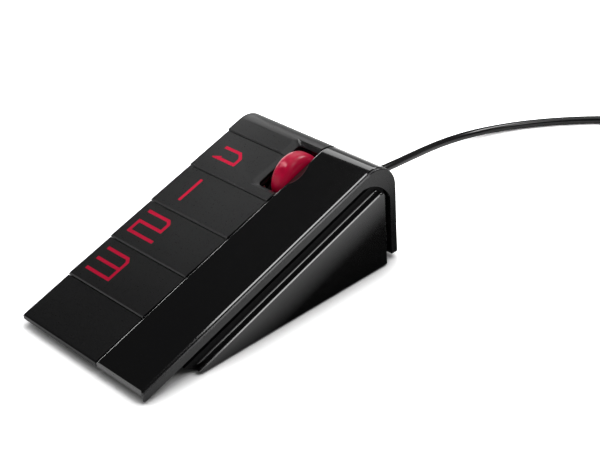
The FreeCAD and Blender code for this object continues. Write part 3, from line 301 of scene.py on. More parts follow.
def coilPoints():
    # clockwise turns; each moves to the next column late in its round, and climbs early in it
    found = []
    columns = cable["columns"]
    count = cable["turnPoints"]
    swell = 1 / (0.75 + 0.25 * math.cos(2 * math.pi / count))  # the spline runs inside its points
    last = int((len(columns) - cable["endShort"]) * count)
    for step in range(1, last + 1):
        turn, part = divmod(step / count, 1.0)
        turn = int(turn)
        after = columns[turn + 1] if turn + 1 < len(columns) else cable["tailRadius"]
        shift = smoothStep((part - cable["shiftFrom"]) / (1 - cable["shiftFrom"]))
        radius = columns[turn] + (after - columns[turn]) * shift
        level = sum(1 for climb in cable["climbs"] if turn > climb)
        if turn in cable["climbs"]:
            level += smoothStep((part - cable["climbFrom"]) / cable["climbPart"])
        angle = math.radians(cable["startAngle"] - 360.0 * step / count)
        x = cable["coilMiddle"][0] + radius * swell * math.cos(angle)
        y = cable["coilMiddle"][1] + radius * swell * math.sin(angle)
        found.append((x, y, cable["radius"] + level * cable["layerHeight"]))
    return found


curve = bpy.data.curves.new("cable_line", "CURVE")
curve.dimensions = "3D"
line = curve.splines.new("NURBS")
places = cable["route"] + coilPoints() + cable["tail"]
line.points.add(len(places) - 1)
for point, place in zip(line.points, places):
    point.co = (place[0] * mm, place[1] * mm, place[2] * mm, 1.0)
    point.radius = cable["radius"] * mm
line.order_u = 3
line.use_endpoint_u = True
line.resolution_u = 6
curve.bevel_depth = 1.0  # the points carry the radius
curve.bevel_resolution = 6
curve.use_fill_caps = True
cord = bpy.data.objects.new("cord", curve)
bpy.context.scene.collection.objects.link(cord)
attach(cord, "housing")
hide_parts("cable", "cable_coil")
print("cable laid")

# strain relief: flange and neck inside the wall, then a taper with moulded rings
boot = {"height": 11.7, "flange": (43.94, 45.14, 4.2), "neck": (44.6, 51.8, 3.0),
        "tail": (51.74, 59.74, 2.7, 1.9),
        "ringStart": 53.0, "ringStep": 1.3, "ringWidth": 0.65, "rings": 4, "ringDepth": 0.3,
        "ringSlant": 0.1,
        "lip": 0.25, "lipSlant": 0.12, "lipDepth": 0.3, "flangeEdge": 0.2, "neckInset": 0.4,
        "neckCrown": 0.1}
bootTail = addRound("boot_tail", *boot["tail"], boot["height"])
openEdit(bootTail)
grooves = []
for ring in range(boot["rings"]):
    start = boot["ringStart"] + ring * boot["ringStep"]
    grooves.append((start, start + boot["ringWidth"]))
cutAcross(1, [place for pair in grooves for place in pair])
for start, end in grooves:
    chooseFaces(bootTail, lambda c, n: start < c.y < end and abs(n.y) < alongside)
    bpy.ops.mesh.inset(thickness=boot["ringSlant"] * mm, depth=-boot["ringDepth"] * mm)
chooseFaces(bootTail, lambda c, n: n.y > facing and c.y > boot["tail"][1] - near)
bpy.ops.mesh.inset(thickness=boot["lip"] * mm, depth=0.0)
bpy.ops.mesh.inset(thickness=boot["lipSlant"] * mm, depth=-boot["lipDepth"] * mm)
closeEdit()
start, end, radius = boot["flange"]
bootFlange = addRound("boot_flange", start, end, radius, radius, boot["height"])
breakEdges(bootFlange, boot["flangeEdge"], steps=3)
start, end, radius = boot["neck"]
bootNeck = addRound("boot_neck", start, end, radius, radius, boot["height"])
openEdit(bootNeck)
chooseFaces(bootNeck, lambda c, n: abs(n.y) > facing)
bpy.ops.mesh.inset(thickness=boot["neckInset"] * mm, depth=boot["neckCrown"] * mm)
closeEdit()
strainRelief = join([bootFlange, bootNeck, bootTail])
strainRelief.name = "strain_relief"
smoothAll(strainRelief)
standFor(strainRelief, "cable_boot")
print("strain relief shaped")

# plug: overmoulded grip, folded nickel shell with its windows, tongue and contacts
plug = {
    "low": (59.4, 149.6, 8.4), "high": (75.0, 171.6, 15.8), "edge": 2.2, "endEdge": 0.5,
    "taperStart": 165.0, "taper": (0.62, 1.0, 0.76), "grips": 5, "gripStart": 153.2, "gripStep": 1.8,
    "gripWidth": 0.9,
    "gripSlant": 0.1, "gripDepth": 0.45, "thumbStart": 150.0, "thumbInset": 2.3, "thumbSlant": 0.2,
    "thumbDepth": 0.25,
    "shellLow": (61.2, 135.6, 9.85), "shellHigh": (73.2, 149.6, 14.35), "shellEdge": 0.6, "shellWall": 0.3,
    "windowsX": (63.9, 66.1, 68.3, 70.5), "windowsY": (139.6, 142.6),
    "tongueLow": (61.75, 136.0, 10.3), "tongueHigh": (72.65, 149.7, 12.1), "tongueLead": 0.4,
    "tongueEdge": 0.12,
    "contacts": (63.7, 66.2, 68.2, 70.7), "contactWidth": 1.0, "contactEnds": (136.8, 144.4),
    "contactRise": 0.08, "contactSink": 0.2, "contactEdge": 0.06,
}
plugMiddle = [(a + b) / 2 for a, b in zip(plug["low"], plug["high"])]
grip = addBox("plug_grip", plug["low"], plug["high"])
openEdit(grip, "EDGE")
chooseEdges(grip, lambda a, b: abs(a.y - b.y) > longEdge)
bpy.ops.mesh.bevel(offset=plug["edge"] * mm, segments=5, profile=0.5)
cutAcross(1, [plug["taperStart"]])
chooseEdges(grip, lambda a, b: min(a.y, b.y) > plug["high"][1] - near)
taperMiddle = (plugMiddle[0] * mm, plug["high"][1] * mm, plugMiddle[2] * mm)
bpy.ops.transform.resize(value=plug["taper"], center_override=taperMiddle)
back, front = plug["high"][1] - near, plug["low"][1] + near
chooseEdges(grip, lambda a, b: min(a.y, b.y) > back or max(a.y, b.y) < front)
bpy.ops.mesh.bevel(offset=plug["endEdge"] * mm, segments=3, profile=0.5)
bands = []
for i in range(plug["grips"]):
    start = plug["gripStart"] + i * plug["gripStep"]
    bands.append((start, start + plug["gripWidth"]))
cutAcross(1, [place for pair in bands for place in pair])
for start, end in bands:
    for side in (-1, 1):
        chooseFaces(grip, lambda c, n: start < c.y < end and n.x * side > squarely)
        bpy.ops.mesh.inset(thickness=plug["gripSlant"] * mm, depth=-plug["gripDepth"] * mm)
for side in (-1, 1):
    chooseFaces(grip, lambda c, n: n.z * side > squarely and plug["thumbStart"] < c.y < plug["taperStart"])
    bpy.ops.mesh.inset(thickness=plug["thumbInset"] * mm, depth=0.0)
    bpy.ops.mesh.inset(thickness=plug["thumbSlant"] * mm, depth=-plug["thumbDepth"] * mm)
closeEdit()
smoothAll(grip)
standFor(grip, "plug_body")

shell = addBox("plug_skin", plug["shellLow"], plug["shellHigh"])
openEdit(shell, "EDGE")
chooseEdges(shell, lambda a, b: abs(a.y - b.y) > longEdge)
bpy.ops.mesh.bevel(offset=plug["shellEdge"] * mm, segments=3, profile=0.5)
cutAcross(0, plug["windowsX"])
cutAcross(1, plug["windowsY"])
windows = [plug["windowsX"][0:2], plug["windowsX"][2:4]]


def openInShell(c, n):
    # both ends, and the two windows on top and below
    inWindow = plug["windowsY"][0] < c.y < plug["windowsY"][1]
    inWindow = inWindow and any(low < c.x < high for low, high in windows)
    return abs(n.y) > facing or (abs(n.z) > facing and inWindow)


chooseFaces(shell, openInShell)
bpy.ops.mesh.delete(type="FACE")
closeEdit()
applyModifier(shell, "SOLIDIFY", {"thickness": plug["shellWall"] * mm, "offset": -1.0,
                                  "use_even_offset": True})
smoothAll(shell)
standFor(shell, "plug_shell")

tongue = addBox("plug_tongue", plug["tongueLow"], plug["tongueHigh"])
openEdit(tongue, "EDGE")
chooseEdges(tongue, lambda a, b: max(a.y, b.y) < plug["tongueLow"][1] + near)
bpy.ops.mesh.bevel(offset=plug["tongueLead"] * mm, segments=2, profile=0.5)
closeEdit()
breakEdges(tongue, plug["tongueEdge"], steps=2)
smoothAll(tongue)
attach(tongue, "housing")
half = plug["contactWidth"] / 2
top = plug["tongueHigh"][2]
strip = addBox("plug_contact", (-half, plug["contactEnds"][0], top - plug["contactSink"]),
               (half, plug["contactEnds"][1], top + plug["contactRise"]))
breakEdges(strip, plug["contactEdge"], steps=2)
strips = [copyTo(strip, (place, 0.0, 0.0)) for place in plug["contacts"]]
bpy.data.objects.remove(strip)
contacts = join(strips)
contacts.name = "plug_contacts"
smoothAll(contacts)
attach(contacts, "housing")
print("plug shaped")

# cable tie: the band's edges are eased, a locking head sits on it and the trimmed end stands out of it
tie = {"edge": 0.35, "headLow": (36.4, 163.3, 8.3), "headHigh": (40.2, 169.1, 11.6), "headEdge": 0.6,
       "headSide": 0.95,
       "mouth": 0.35, "mouthSlant": 0.15, "mouthDepth": 0.4,
       "strapWidth": 4.4, "strapThick": 1.1, "strapOut": 0.9, "strapEdge": 0.25,
       "bends": [(-0.9, 0.1), (-0.9, 0.3)]}
band = copyNode("cable_tie", "tie_band")
breakEdges(band, tie["edge"], steps=3)
smoothAll(band)
head = addBox("tie_head", tie["headLow"], tie["headHigh"])
breakEdges(head, tie["headEdge"], steps=3)
openEdit(head)
chooseFaces(head, lambda c, n: abs(n.x) > tie["headSide"])
bpy.ops.mesh.inset(thickness=tie["mouth"] * mm, depth=0.0)
bpy.ops.mesh.inset(thickness=tie["mouthSlant"] * mm, depth=-tie["mouthDepth"] * mm)
closeEdit()
smoothAll(head)
headMiddle = [(a + b) / 2 for a, b in zip(tie["headLow"], tie["headHigh"])]
halfWidth, halfThick = tie["strapWidth"] / 2, tie["strapThick"] / 2
strapLow = (tie["headLow"][0] - tie["strapOut"], headMiddle[1] - halfWidth, headMiddle[2] - halfThick)
strapHigh = (tie["headHigh"][0] + tie["strapOut"], headMiddle[1] + halfWidth, headMiddle[2] + halfThick)
strap = addBox("tie_strap", strapLow, strapHigh)
openEdit(strap)
chooseFaces(strap, lambda c, n: n.x < -facing)
for along, up in tie["bends"]:
    extrudeBy(along, 0.0, up)
closeEdit()
breakEdges(strap, tie["strapEdge"], steps=2)
smoothAll(strap)
for piece in (head, strap):
    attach(piece, "housing")
print("tie shaped")


# materials
noiseLow, noiseHigh = 0.3, 0.7  # most values of a noise texture lie between these


def mouldedPlastic(name, look):
    # body colour drifts a little over some centimetres, the mould's grain is bump and roughness
    material, tree = newMaterial(name)
    place = addNode(tree, "ShaderNodeTexCoord")
    drift = addNoise(tree, place.outputs["Object"], look["driftSize"], detail=3.0, roughness=0.6)
    grain = addNoise(tree, place.outputs["Object"], look["grainSize"], detail=2.0, roughness=0.55)
    colour = addNode(tree, "ShaderNodeMix", {"data_type": "RGBA"})
    colour.inputs[6].default_value = toLinear(look["dark"])
    colour.inputs[7].default_value = toLinear(look["light"])
    tree.links.new(drift.outputs["Fac"], colour.inputs[0])
    low, high = look["roughness"] - look["roughnessSpread"], look["roughness"] + look["roughnessSpread"]
    polish = addRange(tree, grain.outputs["Fac"], noiseLow, noiseHigh, low, high)
    relief = {"Strength": look["grainStrength"], "Distance": look["grainDepth"] * mm}
    bump = addNode(tree, "ShaderNodeBump", relief, {"Height": grain.outputs["Fac"]})
    surface = {"IOR": look["ior"], "Specular IOR Level": look.get("specular", 0.5),
               "Coat Weight": look.get("coat", 0.0), "Coat Roughness": look.get("coatRoughness", 0.03)}
    sources = {"Base Color": colour.outputs[2], "Roughness": polish.outputs["Result"],
               "Normal": bump.outputs["Normal"]}
    shader = addNode(tree, "ShaderNodeBsdfPrincipled", surface, sources)
    addNode(tree, "ShaderNodeOutputMaterial", links={"Surface": shader.outputs["BSDF"]})
    return material


# ABS from a spark-eroded mould: near black, a fine even grain and a soft sheen that greys it towards the
# light. The grain is drawn at 0.35 mm so that it shows.
keyPlastic = mouldedPlastic("sparkErodedAbs", {
    "dark": "#0e0e0f", "light": "#121213", "driftSize": 22, "grainSize": 0.35, "grainStrength": 0.1,
    "grainDepth": 0.03, "roughness": 0.31, "roughnessSpread": 0.04, "ior": 1.53, "specular": 0.42,
})
# Crimson ABS moulded into the key caps: saturated, and a little duller than the black round it.
inlayPlastic = mouldedPlastic("crimsonInlayAbs", {
    "dark": "#c20032", "light": "#cc0038", "driftSize": 9, "grainSize": 0.35, "grainStrength": 0.06,
    "grainDepth": 0.02, "roughness": 0.38, "roughnessSpread": 0.03, "ior": 1.53, "specular": 0.1,
})
# Lacquered acrylic-faced ABS: deep black, a high gloss under a clear coat whose edges of light are a
# little soft.
panelLacquer = mouldedPlastic("pianoBlackLacquer", {
    "dark": "#050506", "light": "#070708", "driftSize": 30, "grainSize": 2.5, "grainStrength": 0.004,
    "grainDepth": 0.02, "roughness": 0.11, "roughnessSpread": 0.01, "ior": 1.6,
    "coat": 1.0, "coatRoughness": 0.08,
})
# Satin-moulded ABS of the slab: near black, blurred reflections.
shellPlastic = mouldedPlastic("satinAbs", {
    "dark": "#111112", "light": "#161617", "driftSize": 25, "grainSize": 0.3, "grainStrength": 0.04,
    "grainDepth": 0.02, "roughness": 0.24, "roughnessSpread": 0.03, "ior": 1.53,
})
# The base is moulded in the same ABS from a dull tool; its colour is also darkened as painted shade, so it
# stays black under the slab.
basePaintedShadePlastic = mouldedPlastic("dullAbsPaintedShade", {
    "dark": "#070708", "light": "#0b0b0c", "driftSize": 25, "grainSize": 0.3, "grainStrength": 0.08,
    "grainDepth": 0.03, "roughness": 0.5, "roughnessSpread": 0.04, "ior": 1.53, "specular": 0.1,
})
# Polished ABS side plates: black gloss, a little softer than the lacquer.
platePlastic = mouldedPlastic("polishedAbs", {
    "dark": "#090909", "light": "#0c0c0d", "driftSize": 30, "grainSize": 1.5, "grainStrength": 0.02,
    "grainDepth": 0.02, "roughness": 0.13, "roughnessSpread": 0.02, "ior": 1.53, "specular": 1.0,
})
# Crimson elastomer tyre with a smooth soft coat: deep colour, and the crown carries a wide highlight.
tyreElastomer = mouldedPlastic("crimsonElastomer", {
    "dark": "#b60033", "light": "#c20038", "driftSize": 6, "grainSize": 0.4, "grainStrength": 0.02,
    "grainDepth": 0.01, "roughness": 0.3, "roughnessSpread": 0.02, "ior": 1.5, "specular": 0.22,
})
# Soft PVC of the cable: black, smooth from the die, with a clear line of light along it.
cablePvc = mouldedPlastic("extrudedPvc", {
    "dark": "#0b0b0c", "light": "#0f0f10", "driftSize": 12, "grainSize": 0.5, "grainStrength": 0.04,
    "grainDepth": 0.02, "roughness": 0.2, "roughnessSpread": 0.03, "ior": 1.53, "specular": 0.4,
})
# Moulded PVC of boot and plug: same black, duller from its textured mould.
plugPvc = mouldedPlastic("mouldedPvc", {
    "dark": "#121213", "light": "#19191a", "driftSize": 8, "grainSize": 0.4, "grainStrength": 0.15,
    "grainDepth": 0.04, "roughness": 0.45, "roughnessSpread": 0.05, "ior": 1.53,
})
# Black nylon 6.6: slightly waxy.
tieNylon = mouldedPlastic("blackNylon", {
    "dark": "#171718", "light": "#1f1f20", "driftSize": 5, "grainSize": 0.4, "grainStrength": 0.08,
    "grainDepth": 0.03, "roughness": 0.36, "roughnessSpread": 0.05, "ior": 1.53,
})
# Silicone rubber feet: dark grey and matt.
footRubber = mouldedPlastic("siliconeRubber", {
    "dark": "#232324", "light": "#2b2b2c", "driftSize": 4, "grainSize": 0.3, "grainStrength": 0.2,
    "grainDepth": 0.05, "roughness": 0.7, "roughnessSpread": 0.06, "ior": 1.41,
})
# Acetal of the yoke, bracket and hub: dark, waxy.
innerAcetal = mouldedPlastic("blackAcetal", {
    "dark": "#161617", "light": "#1d1d1e", "driftSize": 8, "grainSize": 0.4, "grainStrength": 0.06,
    "grainDepth": 0.02, "roughness": 0.35, "roughnessSpread": 0.05, "ior": 1.48,
})
# Glass-filled nylon of header and plug tongue: milky white.
headerNylon = mouldedPlastic("whiteNylon", {
    "dark": "#d6d3c6", "light": "#e2dfd3", "driftSize": 4, "grainSize": 0.4, "grainStrength": 0.08,
    "grainDepth": 0.03, "roughness": 0.45, "roughnessSpread": 0.05, "ior": 1.53,
})
# White acetal of the switch buttons.
buttonAcetal = mouldedPlastic("whiteAcetal", {
    "dark": "#cbc9c2", "light": "#d6d4cc", "driftSize": 3, "grainSize": 0.3, "grainStrength": 0.05,
    "grainDepth": 0.02, "roughness": 0.35, "roughnessSpread": 0.05, "ior": 1.48,
})
# Epoxy moulding compound of the chip and switch bodies: charcoal, matt.
chipEpoxy = mouldedPlastic("mouldedEpoxy", {
    "dark": "#161616", "light": "#1e1e1f", "driftSize": 3, "grainSize": 0.25, "grainStrength": 0.2,
    "grainDepth": 0.03, "roughness": 0.55, "roughnessSpread": 0.06, "ior": 1.55,
})

scratches = {"smoother": 0.05, "rougher": 0.08, "strength": 0.08, "depth": 0.01}


def platedMetal(name, look):
    # fine scratches along one direction in roughness and bump
    material, tree = newMaterial(name)
    place = addNode(tree, "ShaderNodeTexCoord")
    stretch = addNode(tree, "ShaderNodeMapping", {"Scale": look["stretch"]},
                      {"Vector": place.outputs["Object"]})
    scratch = addNoise(tree, stretch.outputs["Vector"], look["scratchSize"], detail=4.0, roughness=0.6)
    low, high = look["roughness"] - scratches["smoother"], look["roughness"] + scratches["rougher"]
    polish = addRange(tree, scratch.outputs["Fac"], noiseLow, noiseHigh, low, high)
    relief = {"Strength": scratches["strength"], "Distance": scratches["depth"] * mm}
    bump = addNode(tree, "ShaderNodeBump", relief, {"Height": scratch.outputs["Fac"]})
    surface = {"Base Color": toLinear(look["colour"]), "Metallic": 1.0}
    shader = addNode(tree, "ShaderNodeBsdfPrincipled", surface,
                     {"Roughness": polish.outputs["Result"], "Normal": bump.outputs["Normal"]})
    addNode(tree, "ShaderNodeOutputMaterial", links={"Surface": shader.outputs["BSDF"]})
    return material


# Bright zinc-plated steel of screws, pins and the ballast plate: cool grey with fine drawing lines.
zincSteel = platedMetal("zincPlatedSteel", {
    "colour": "#b9bcc0", "stretch": (1.0, 0.08, 1.0), "scratchSize": 0.3, "roughness": 0.3,
})
# Bright nickel over drawn steel: warmer and shinier.
nickelSteel = platedMetal("nickelPlatedSteel", {
    "colour": "#cfcac0", "stretch": (1.0, 0.06, 1.0), "scratchSize": 0.25, "roughness": 0.2,
})
# Gold flash on the contacts: yellow, slightly brushed by use.
goldFlash = platedMetal("goldFlash", {
    "colour": "#e0b95c", "stretch": (1.0, 0.05, 1.0), "scratchSize": 0.2, "roughness": 0.22,
})


waveTurn = 20  # radians by which a wave texture advances over one unit


def boardLaminate(name, look):
    # solder mask over glass cloth: the weave shows faintly through the green. The thread is given as
    # millimetres of cloth to one radian of the wave.
    material, tree = newMaterial(name)
    place = addNode(tree, "ShaderNodeTexCoord")
    scale = 1 / (look["thread"] * mm) / waveTurn
    weaveX = addNode(tree, "ShaderNodeTexWave", {"Scale": scale, "Distortion": 0.4, "bands_direction": "X"},
                     {"Vector": place.outputs["Object"]})
    weaveY = addNode(tree, "ShaderNodeTexWave", {"Scale": scale, "Distortion": 0.4, "bands_direction": "Y"},
                     {"Vector": place.outputs["Object"]})
    cloth = addMath(tree, "MULTIPLY", {0: weaveX.outputs["Fac"], 1: weaveY.outputs["Fac"]})
    colour = addNode(tree, "ShaderNodeMix", {"data_type": "RGBA"})
    colour.inputs[6].default_value = toLinear(look["dark"])
    colour.inputs[7].default_value = toLinear(look["light"])
    tree.links.new(cloth.outputs[0], colour.inputs[0])
    shader = addNode(tree, "ShaderNodeBsdfPrincipled", {"Roughness": 0.35, "IOR": 1.5},
                     {"Base Color": colour.outputs[2]})
    addNode(tree, "ShaderNodeOutputMaterial", links={"Surface": shader.outputs["BSDF"]})
    return material


# Glass-epoxy board with green solder mask.
boardGreen = boardLaminate("glassEpoxyBoard", {"dark": "#0d4a24", "light": "#14632f", "thread": 0.5})

finishes = {
    "deck_shell": shellPlastic, "base_shell": basePaintedShadePlastic, "gloss_panel": panelLacquer,
    "rear_cap": keyPlastic, "front_pad": keyPlastic, "key_3": keyPlastic, "key_2": keyPlastic,
    "key_1": keyPlastic, "key_return": keyPlastic, "legend_3": inlayPlastic, "legend_2": inlayPlastic,
    "legend_1": inlayPlastic, "legend_return": inlayPlastic, "side_plate_left": platePlastic,
    "side_plate_right": platePlastic, "wheel_tyre": tyreElastomer, "wheel_hub": innerAcetal,
    "wheel_yoke": innerAcetal, "wheel_bracket": innerAcetal, "wheel_axle": zincSteel, "yoke_pin": zincSteel,
    "key_hinge_rod": zincSteel, "housing_screws": zincSteel, "bracket_screws": zincSteel,
    "board_screws": zincSteel, "ballast_screws": zincSteel, "ballast_plate": zincSteel,
    "clock_crystal": nickelSteel, "main_board": boardGreen, "wheel_board": boardGreen,
    "controller_chip": chipEpoxy, "sensor_emitter": chipEpoxy, "sensor_receiver": chipEpoxy,
    "cable_header": headerNylon, "header_plug": headerNylon, "inner_lead": cablePvc, "wheel_lead": cablePvc,
    "cable_boot": plugPvc, "cable_tie": tieNylon, "plug_body": plugPvc, "plug_shell": nickelSteel,
    "cable": cablePvc, "cable_coil": cablePvc,
}
for nodeName, node in nodes.items():
    if nodeName.startswith("foot_"):
        wear(node, footRubber)
    elif nodeName.startswith("switch_button") or nodeName == "wheel_switch_button":
        wear(node, buttonAcetal)
    elif nodeName.startswith("switch_") or nodeName == "wheel_switch":
        wear(node, chipEpoxy)
    else:
        wear(node, finishes[nodeName])
wear(cord, cablePvc)
wear(strainRelief, plugPvc)
wear(grip, plugPvc)
wear(shell, nickelSteel)
wear(tongue, headerNylon)
wear(contacts, goldFlash)
for piece in (band, head, strap):
    wear(piece, tieNylon)
print("finishes given")

# slab, plates, keys and the hard-edged inner pieces: the sharp edges get their small rounds
fineRound = 0.1  # millimetres; a piece whose rounds are narrower is smoothed over small angles only
rounds = {  # width in millimetres, steps
    "deck_shell": (0.07, 2), "gloss_panel": (0.05, 2), "side_plate_left": (0.06, 2),
    "side_plate_right": (0.06, 2), "front_pad": (0.06, 2), "rear_cap": (0.06, 2), "key_3": (0.06, 2),
    "key_2": (0.06, 2), "key_1": (0.06, 2), "key_return": (0.06, 2), "foot_front_left": (0.12, 3),
    "foot_front_right": (0.12, 3), "foot_rear_left": (0.12, 3), "foot_rear_right": (0.12, 3),
    "ballast_plate": (0.3, 2), "controller_chip": (0.12, 1), "clock_crystal": (0.5, 3),
    "cable_header": (0.2, 2), "header_plug": (0.25, 2), "sensor_emitter": (0.3, 2),
    "sensor_receiver": (0.3, 2), "wheel_board": (0.15, 1), "wheel_yoke": (0.15, 2), "switch_1": (0.15, 2),
    "switch_2": (0.15, 2), "switch_3": (0.15, 2), "switch_return": (0.15, 2), "wheel_switch": (0.15, 2),
    "switch_button_1": (0.15, 2), "switch_button_2": (0.15, 2), "switch_button_3": (0.15, 2),
    "switch_button_return": (0.15, 2), "wheel_switch_button": (0.15, 2),
}
legendRoom = {"side": 0.1, "run": 0.4}  # millimetres round a numeral's box


def alongDeck(y, z):
    return y * math.cos(slopeAngle) + z * math.sin(slopeAngle)


def nearLegend(place):
    # edges of the shallow recess round a numeral stay sharp
    side, run = legendRoom["side"] * mm, legendRoom["run"] * mm
    for legend in ("legend_3", "legend_2", "legend_1", "legend_return"):
        low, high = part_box(legend)
        start, end = alongDeck(low[1], low[2]) - run, alongDeck(high[1], high[2]) + run
        if low[0] - side < place.x < high[0] + side and start < alongDeck(place.y, place.z) < end:
            return True
    return False


panel = {"chamfer": 0.3, "reach": 0.03, "second": 0.26}


def easePanel(piece):
    # the long left edge, which the hand passes, gets a second flatter chamfer over the first
    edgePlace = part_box("gloss_panel")[0][0] / mm + panel["chamfer"]
    openEdit(piece, "EDGE")
    chooseEdges(piece, lambda a, b: max(abs(a.x - edgePlace), abs(b.x - edgePlace)) < panel["reach"])
    bpy.ops.mesh.bevel(offset=panel["second"] * mm, segments=1, clamp_overlap=False)
    closeEdit()


for nodeName, (width, steps) in rounds.items():
    piece = copyNode(nodeName, nodeName + "_finished")
    if nodeName == "gloss_panel":
        easePanel(piece)
    breakEdges(piece, width, steps, keep=nearLegend if nodeName.startswith("key_") else None)
    smoothAll(piece, angle=20.0 if width < fineRound else 40.0)

# base: its sides are recessed along their outline, and the step's polished edge shows as a fine line
# under the slab
# slant: between these lies the sideways part of the normal on the step's edge
base = {"recess": 0.8, "border": 1.9, "edge": 0.3, "slant": (0.3, 0.95)}
tub = copyNode("base_shell", "base_shell_finished")
tub.data.materials.append(platePlastic)
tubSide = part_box("base_shell")[1][0] / mm
openEdit(tub)
for side in (-1, 1):
    chooseFaces(tub, lambda c, n: n.x * side > squarely and c.x * side > tubSide - near)
    bpy.ops.transform.translate(value=(-side * base["recess"] * mm, 0.0, 0.0))
    bpy.ops.mesh.inset(thickness=base["border"] * mm, depth=0.0)
    extrudeBy(side * base["recess"], 0.0, 0.0)
    chooseEdges(tub, lambda a, b: min(a.x * side, b.x * side) > tubSide - near)
    bpy.ops.mesh.bevel(offset=base["edge"] * mm, segments=1, clamp_overlap=False)
    slantLow, slantHigh = base["slant"]
    chooseFaces(tub, lambda c, n: c.x * side > tubSide - base["edge"] and slantLow < n.x * side < slantHigh)
    tub.active_material_index = 1
    bpy.ops.object.material_slot_assign()
closeEdit()
smoothAll(tub, angle=20.0)

# slab: webs that fill the inner corners of its side rims. Each is a box between the sloping skin and the
# rear wall. The edge in their corner is rounded to the roll, the edge across from it is moved in and
# rounded to a hollow.
web = {"roll": 8.8, "wall": 2.65, "ahead": 13.5, "below": 12.0, "round": 8.5, "hollow": (3.67, 4.3),
       "hollowRound": 8.1, "low": 28.8, "high": 29.77, "steps": 14, "edge": 0.3, "boxAbove": 1.0}
deckHigh = [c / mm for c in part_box("deck_shell")[1]]
rollY, rollZ = deckHigh[1] - web["roll"], deckHigh[2] - web["roll"]
inside = web["roll"] - web["wall"]
cornerZ = rollZ + inside * (1 + math.sin(slopeAngle)) / math.cos(slopeAngle)
corner = (rollY + inside, cornerZ)
frontEnd = (corner[0] - web["ahead"] * math.cos(slopeAngle),
            corner[1] - web["ahead"] * math.sin(slopeAngle))
lowEnd = (corner[0], corner[1] - web["below"])
hollow = (rollY + web["hollow"][0], rollZ + web["hollow"][1])


def chooseLong(piece, place):
    # edges across the machine at one place of its side view
    def isThere(end):
        return math.hypot(end.y - place[0], end.z - place[1]) < near

    chooseEdges(piece, lambda a, b: isThere(a) and isThere(b))


webs = []
for side in (-1, 1):
    boxLow, boxHigh = (frontEnd[0], lowEnd[1]), (corner[0], corner[1] + web["boxAbove"])
    inner, outer = sorted((side * web["low"], side * web["high"]))
    piece = addBox("rim_web", (inner, *boxLow), (outer, *boxHigh))
    openEdit(piece)
    moves = [(boxLow, hollow), ((boxLow[0], boxHigh[1]), frontEnd), (boxHigh, corner),
             ((boxHigh[0], boxLow[1]), lowEnd)]
    for old, new in moves:
        chooseLong(piece, old)
        bpy.ops.transform.translate(value=(0.0, (new[0] - old[0]) * mm, (new[1] - old[1]) * mm))
    for place, size in ((corner, web["round"]), (hollow, web["hollowRound"])):
        chooseLong(piece, place)
        bpy.ops.mesh.bevel(offset=size * mm, segments=web["steps"], profile=0.5, clamp_overlap=False)
    closeEdit()
    breakEdges(piece, web["edge"], steps=3, sharp=60.0)
    smoothAll(piece, angle=50.0)
    wear(piece, shellPlastic)
    webs.append(piece)
rimWebs = join(webs)
rimWebs.name = "rim_webs"
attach(rimWebs, "housing")
print("slab, base and keys finished")

# wheel: a barrel tyre whose flanks cover the hub's rim and web
wheel = {"shoulder": 2.3, "shoulderSteps": 8, "hole": 3.2, "flank": 0.3, "rim": 6.9, "vertices": 96,
         "chord": 0.05}
low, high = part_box("wheel_tyre")
tyreRadius = (high[2] - low[2]) / 2
wheelMiddle = [(a + b) / 2 for a, b in zip(low, high)]
bpy.ops.mesh.primitive_cylinder_add(vertices=wheel["vertices"], radius=tyreRadius, depth=high[0] - low[0],
                                    location=wheelMiddle, rotation=(0, math.radians(90), 0))
tyre = bpy.context.object
tyre.name = "barrel_tyre"
applyPlace(tyre)


def fromAxle(place):
    return math.hypot(place.y - wheelMiddle[1] / mm, place.z - wheelMiddle[2] / mm)


def acrossAxle(a, b):
    return abs(a.x - b.x) < near


def onRim(place):
    return abs(fromAxle(place) - wheel["rim"]) < near


def inHole(place, faceX):
    return fromAxle(place) < wheel["hole"] + wheel["chord"] and abs(place.x - faceX) < near


openEdit(tyre)
for side in (-1, 1):
    chooseFaces(tyre, lambda c, n: n.x * side > facing)
    bpy.ops.mesh.inset(thickness=tyreRadius - wheel["hole"] * mm)
    bpy.ops.mesh.delete(type="FACE")
crown = tyreRadius / mm - wheel["chord"]
chooseEdges(tyre, lambda a, b: acrossAxle(a, b) and min(fromAxle(a), fromAxle(b)) > crown)
bpy.ops.mesh.bevel(offset=wheel["shoulder"] * mm, segments=wheel["shoulderSteps"], profile=0.5)
for side in (-1, 1):
    # from the hole the flank turns inwards and out to the hub's rim
    faceX = (wheelMiddle[0] + side * (high[0] - low[0]) / 2) / mm
    chooseEdges(tyre, lambda a, b: inHole(a, faceX) and inHole(b, faceX))
    extrudeBy(-side * wheel["flank"], 0.0, 0.0)
    extrudeBy(0.0, 0.0, 0.0)
    grow = wheel["rim"] / wheel["hole"]
    bpy.ops.transform.resize(value=(1.0, grow, grow), center_override=wheelMiddle)
chooseEdges(tyre, lambda a, b: acrossAxle(a, b) and onRim(a) and onRim(b))
bpy.ops.mesh.bridge_edge_loops()
bpy.ops.mesh.select_all(action="SELECT")
bpy.ops.mesh.normals_make_consistent(inside=False)
closeEdit()
smoothAll(tyre, angle=35.0)
wear(tyre, tyreElastomer)
standFor(tyre, "wheel_tyre")
print("wheel shaped")

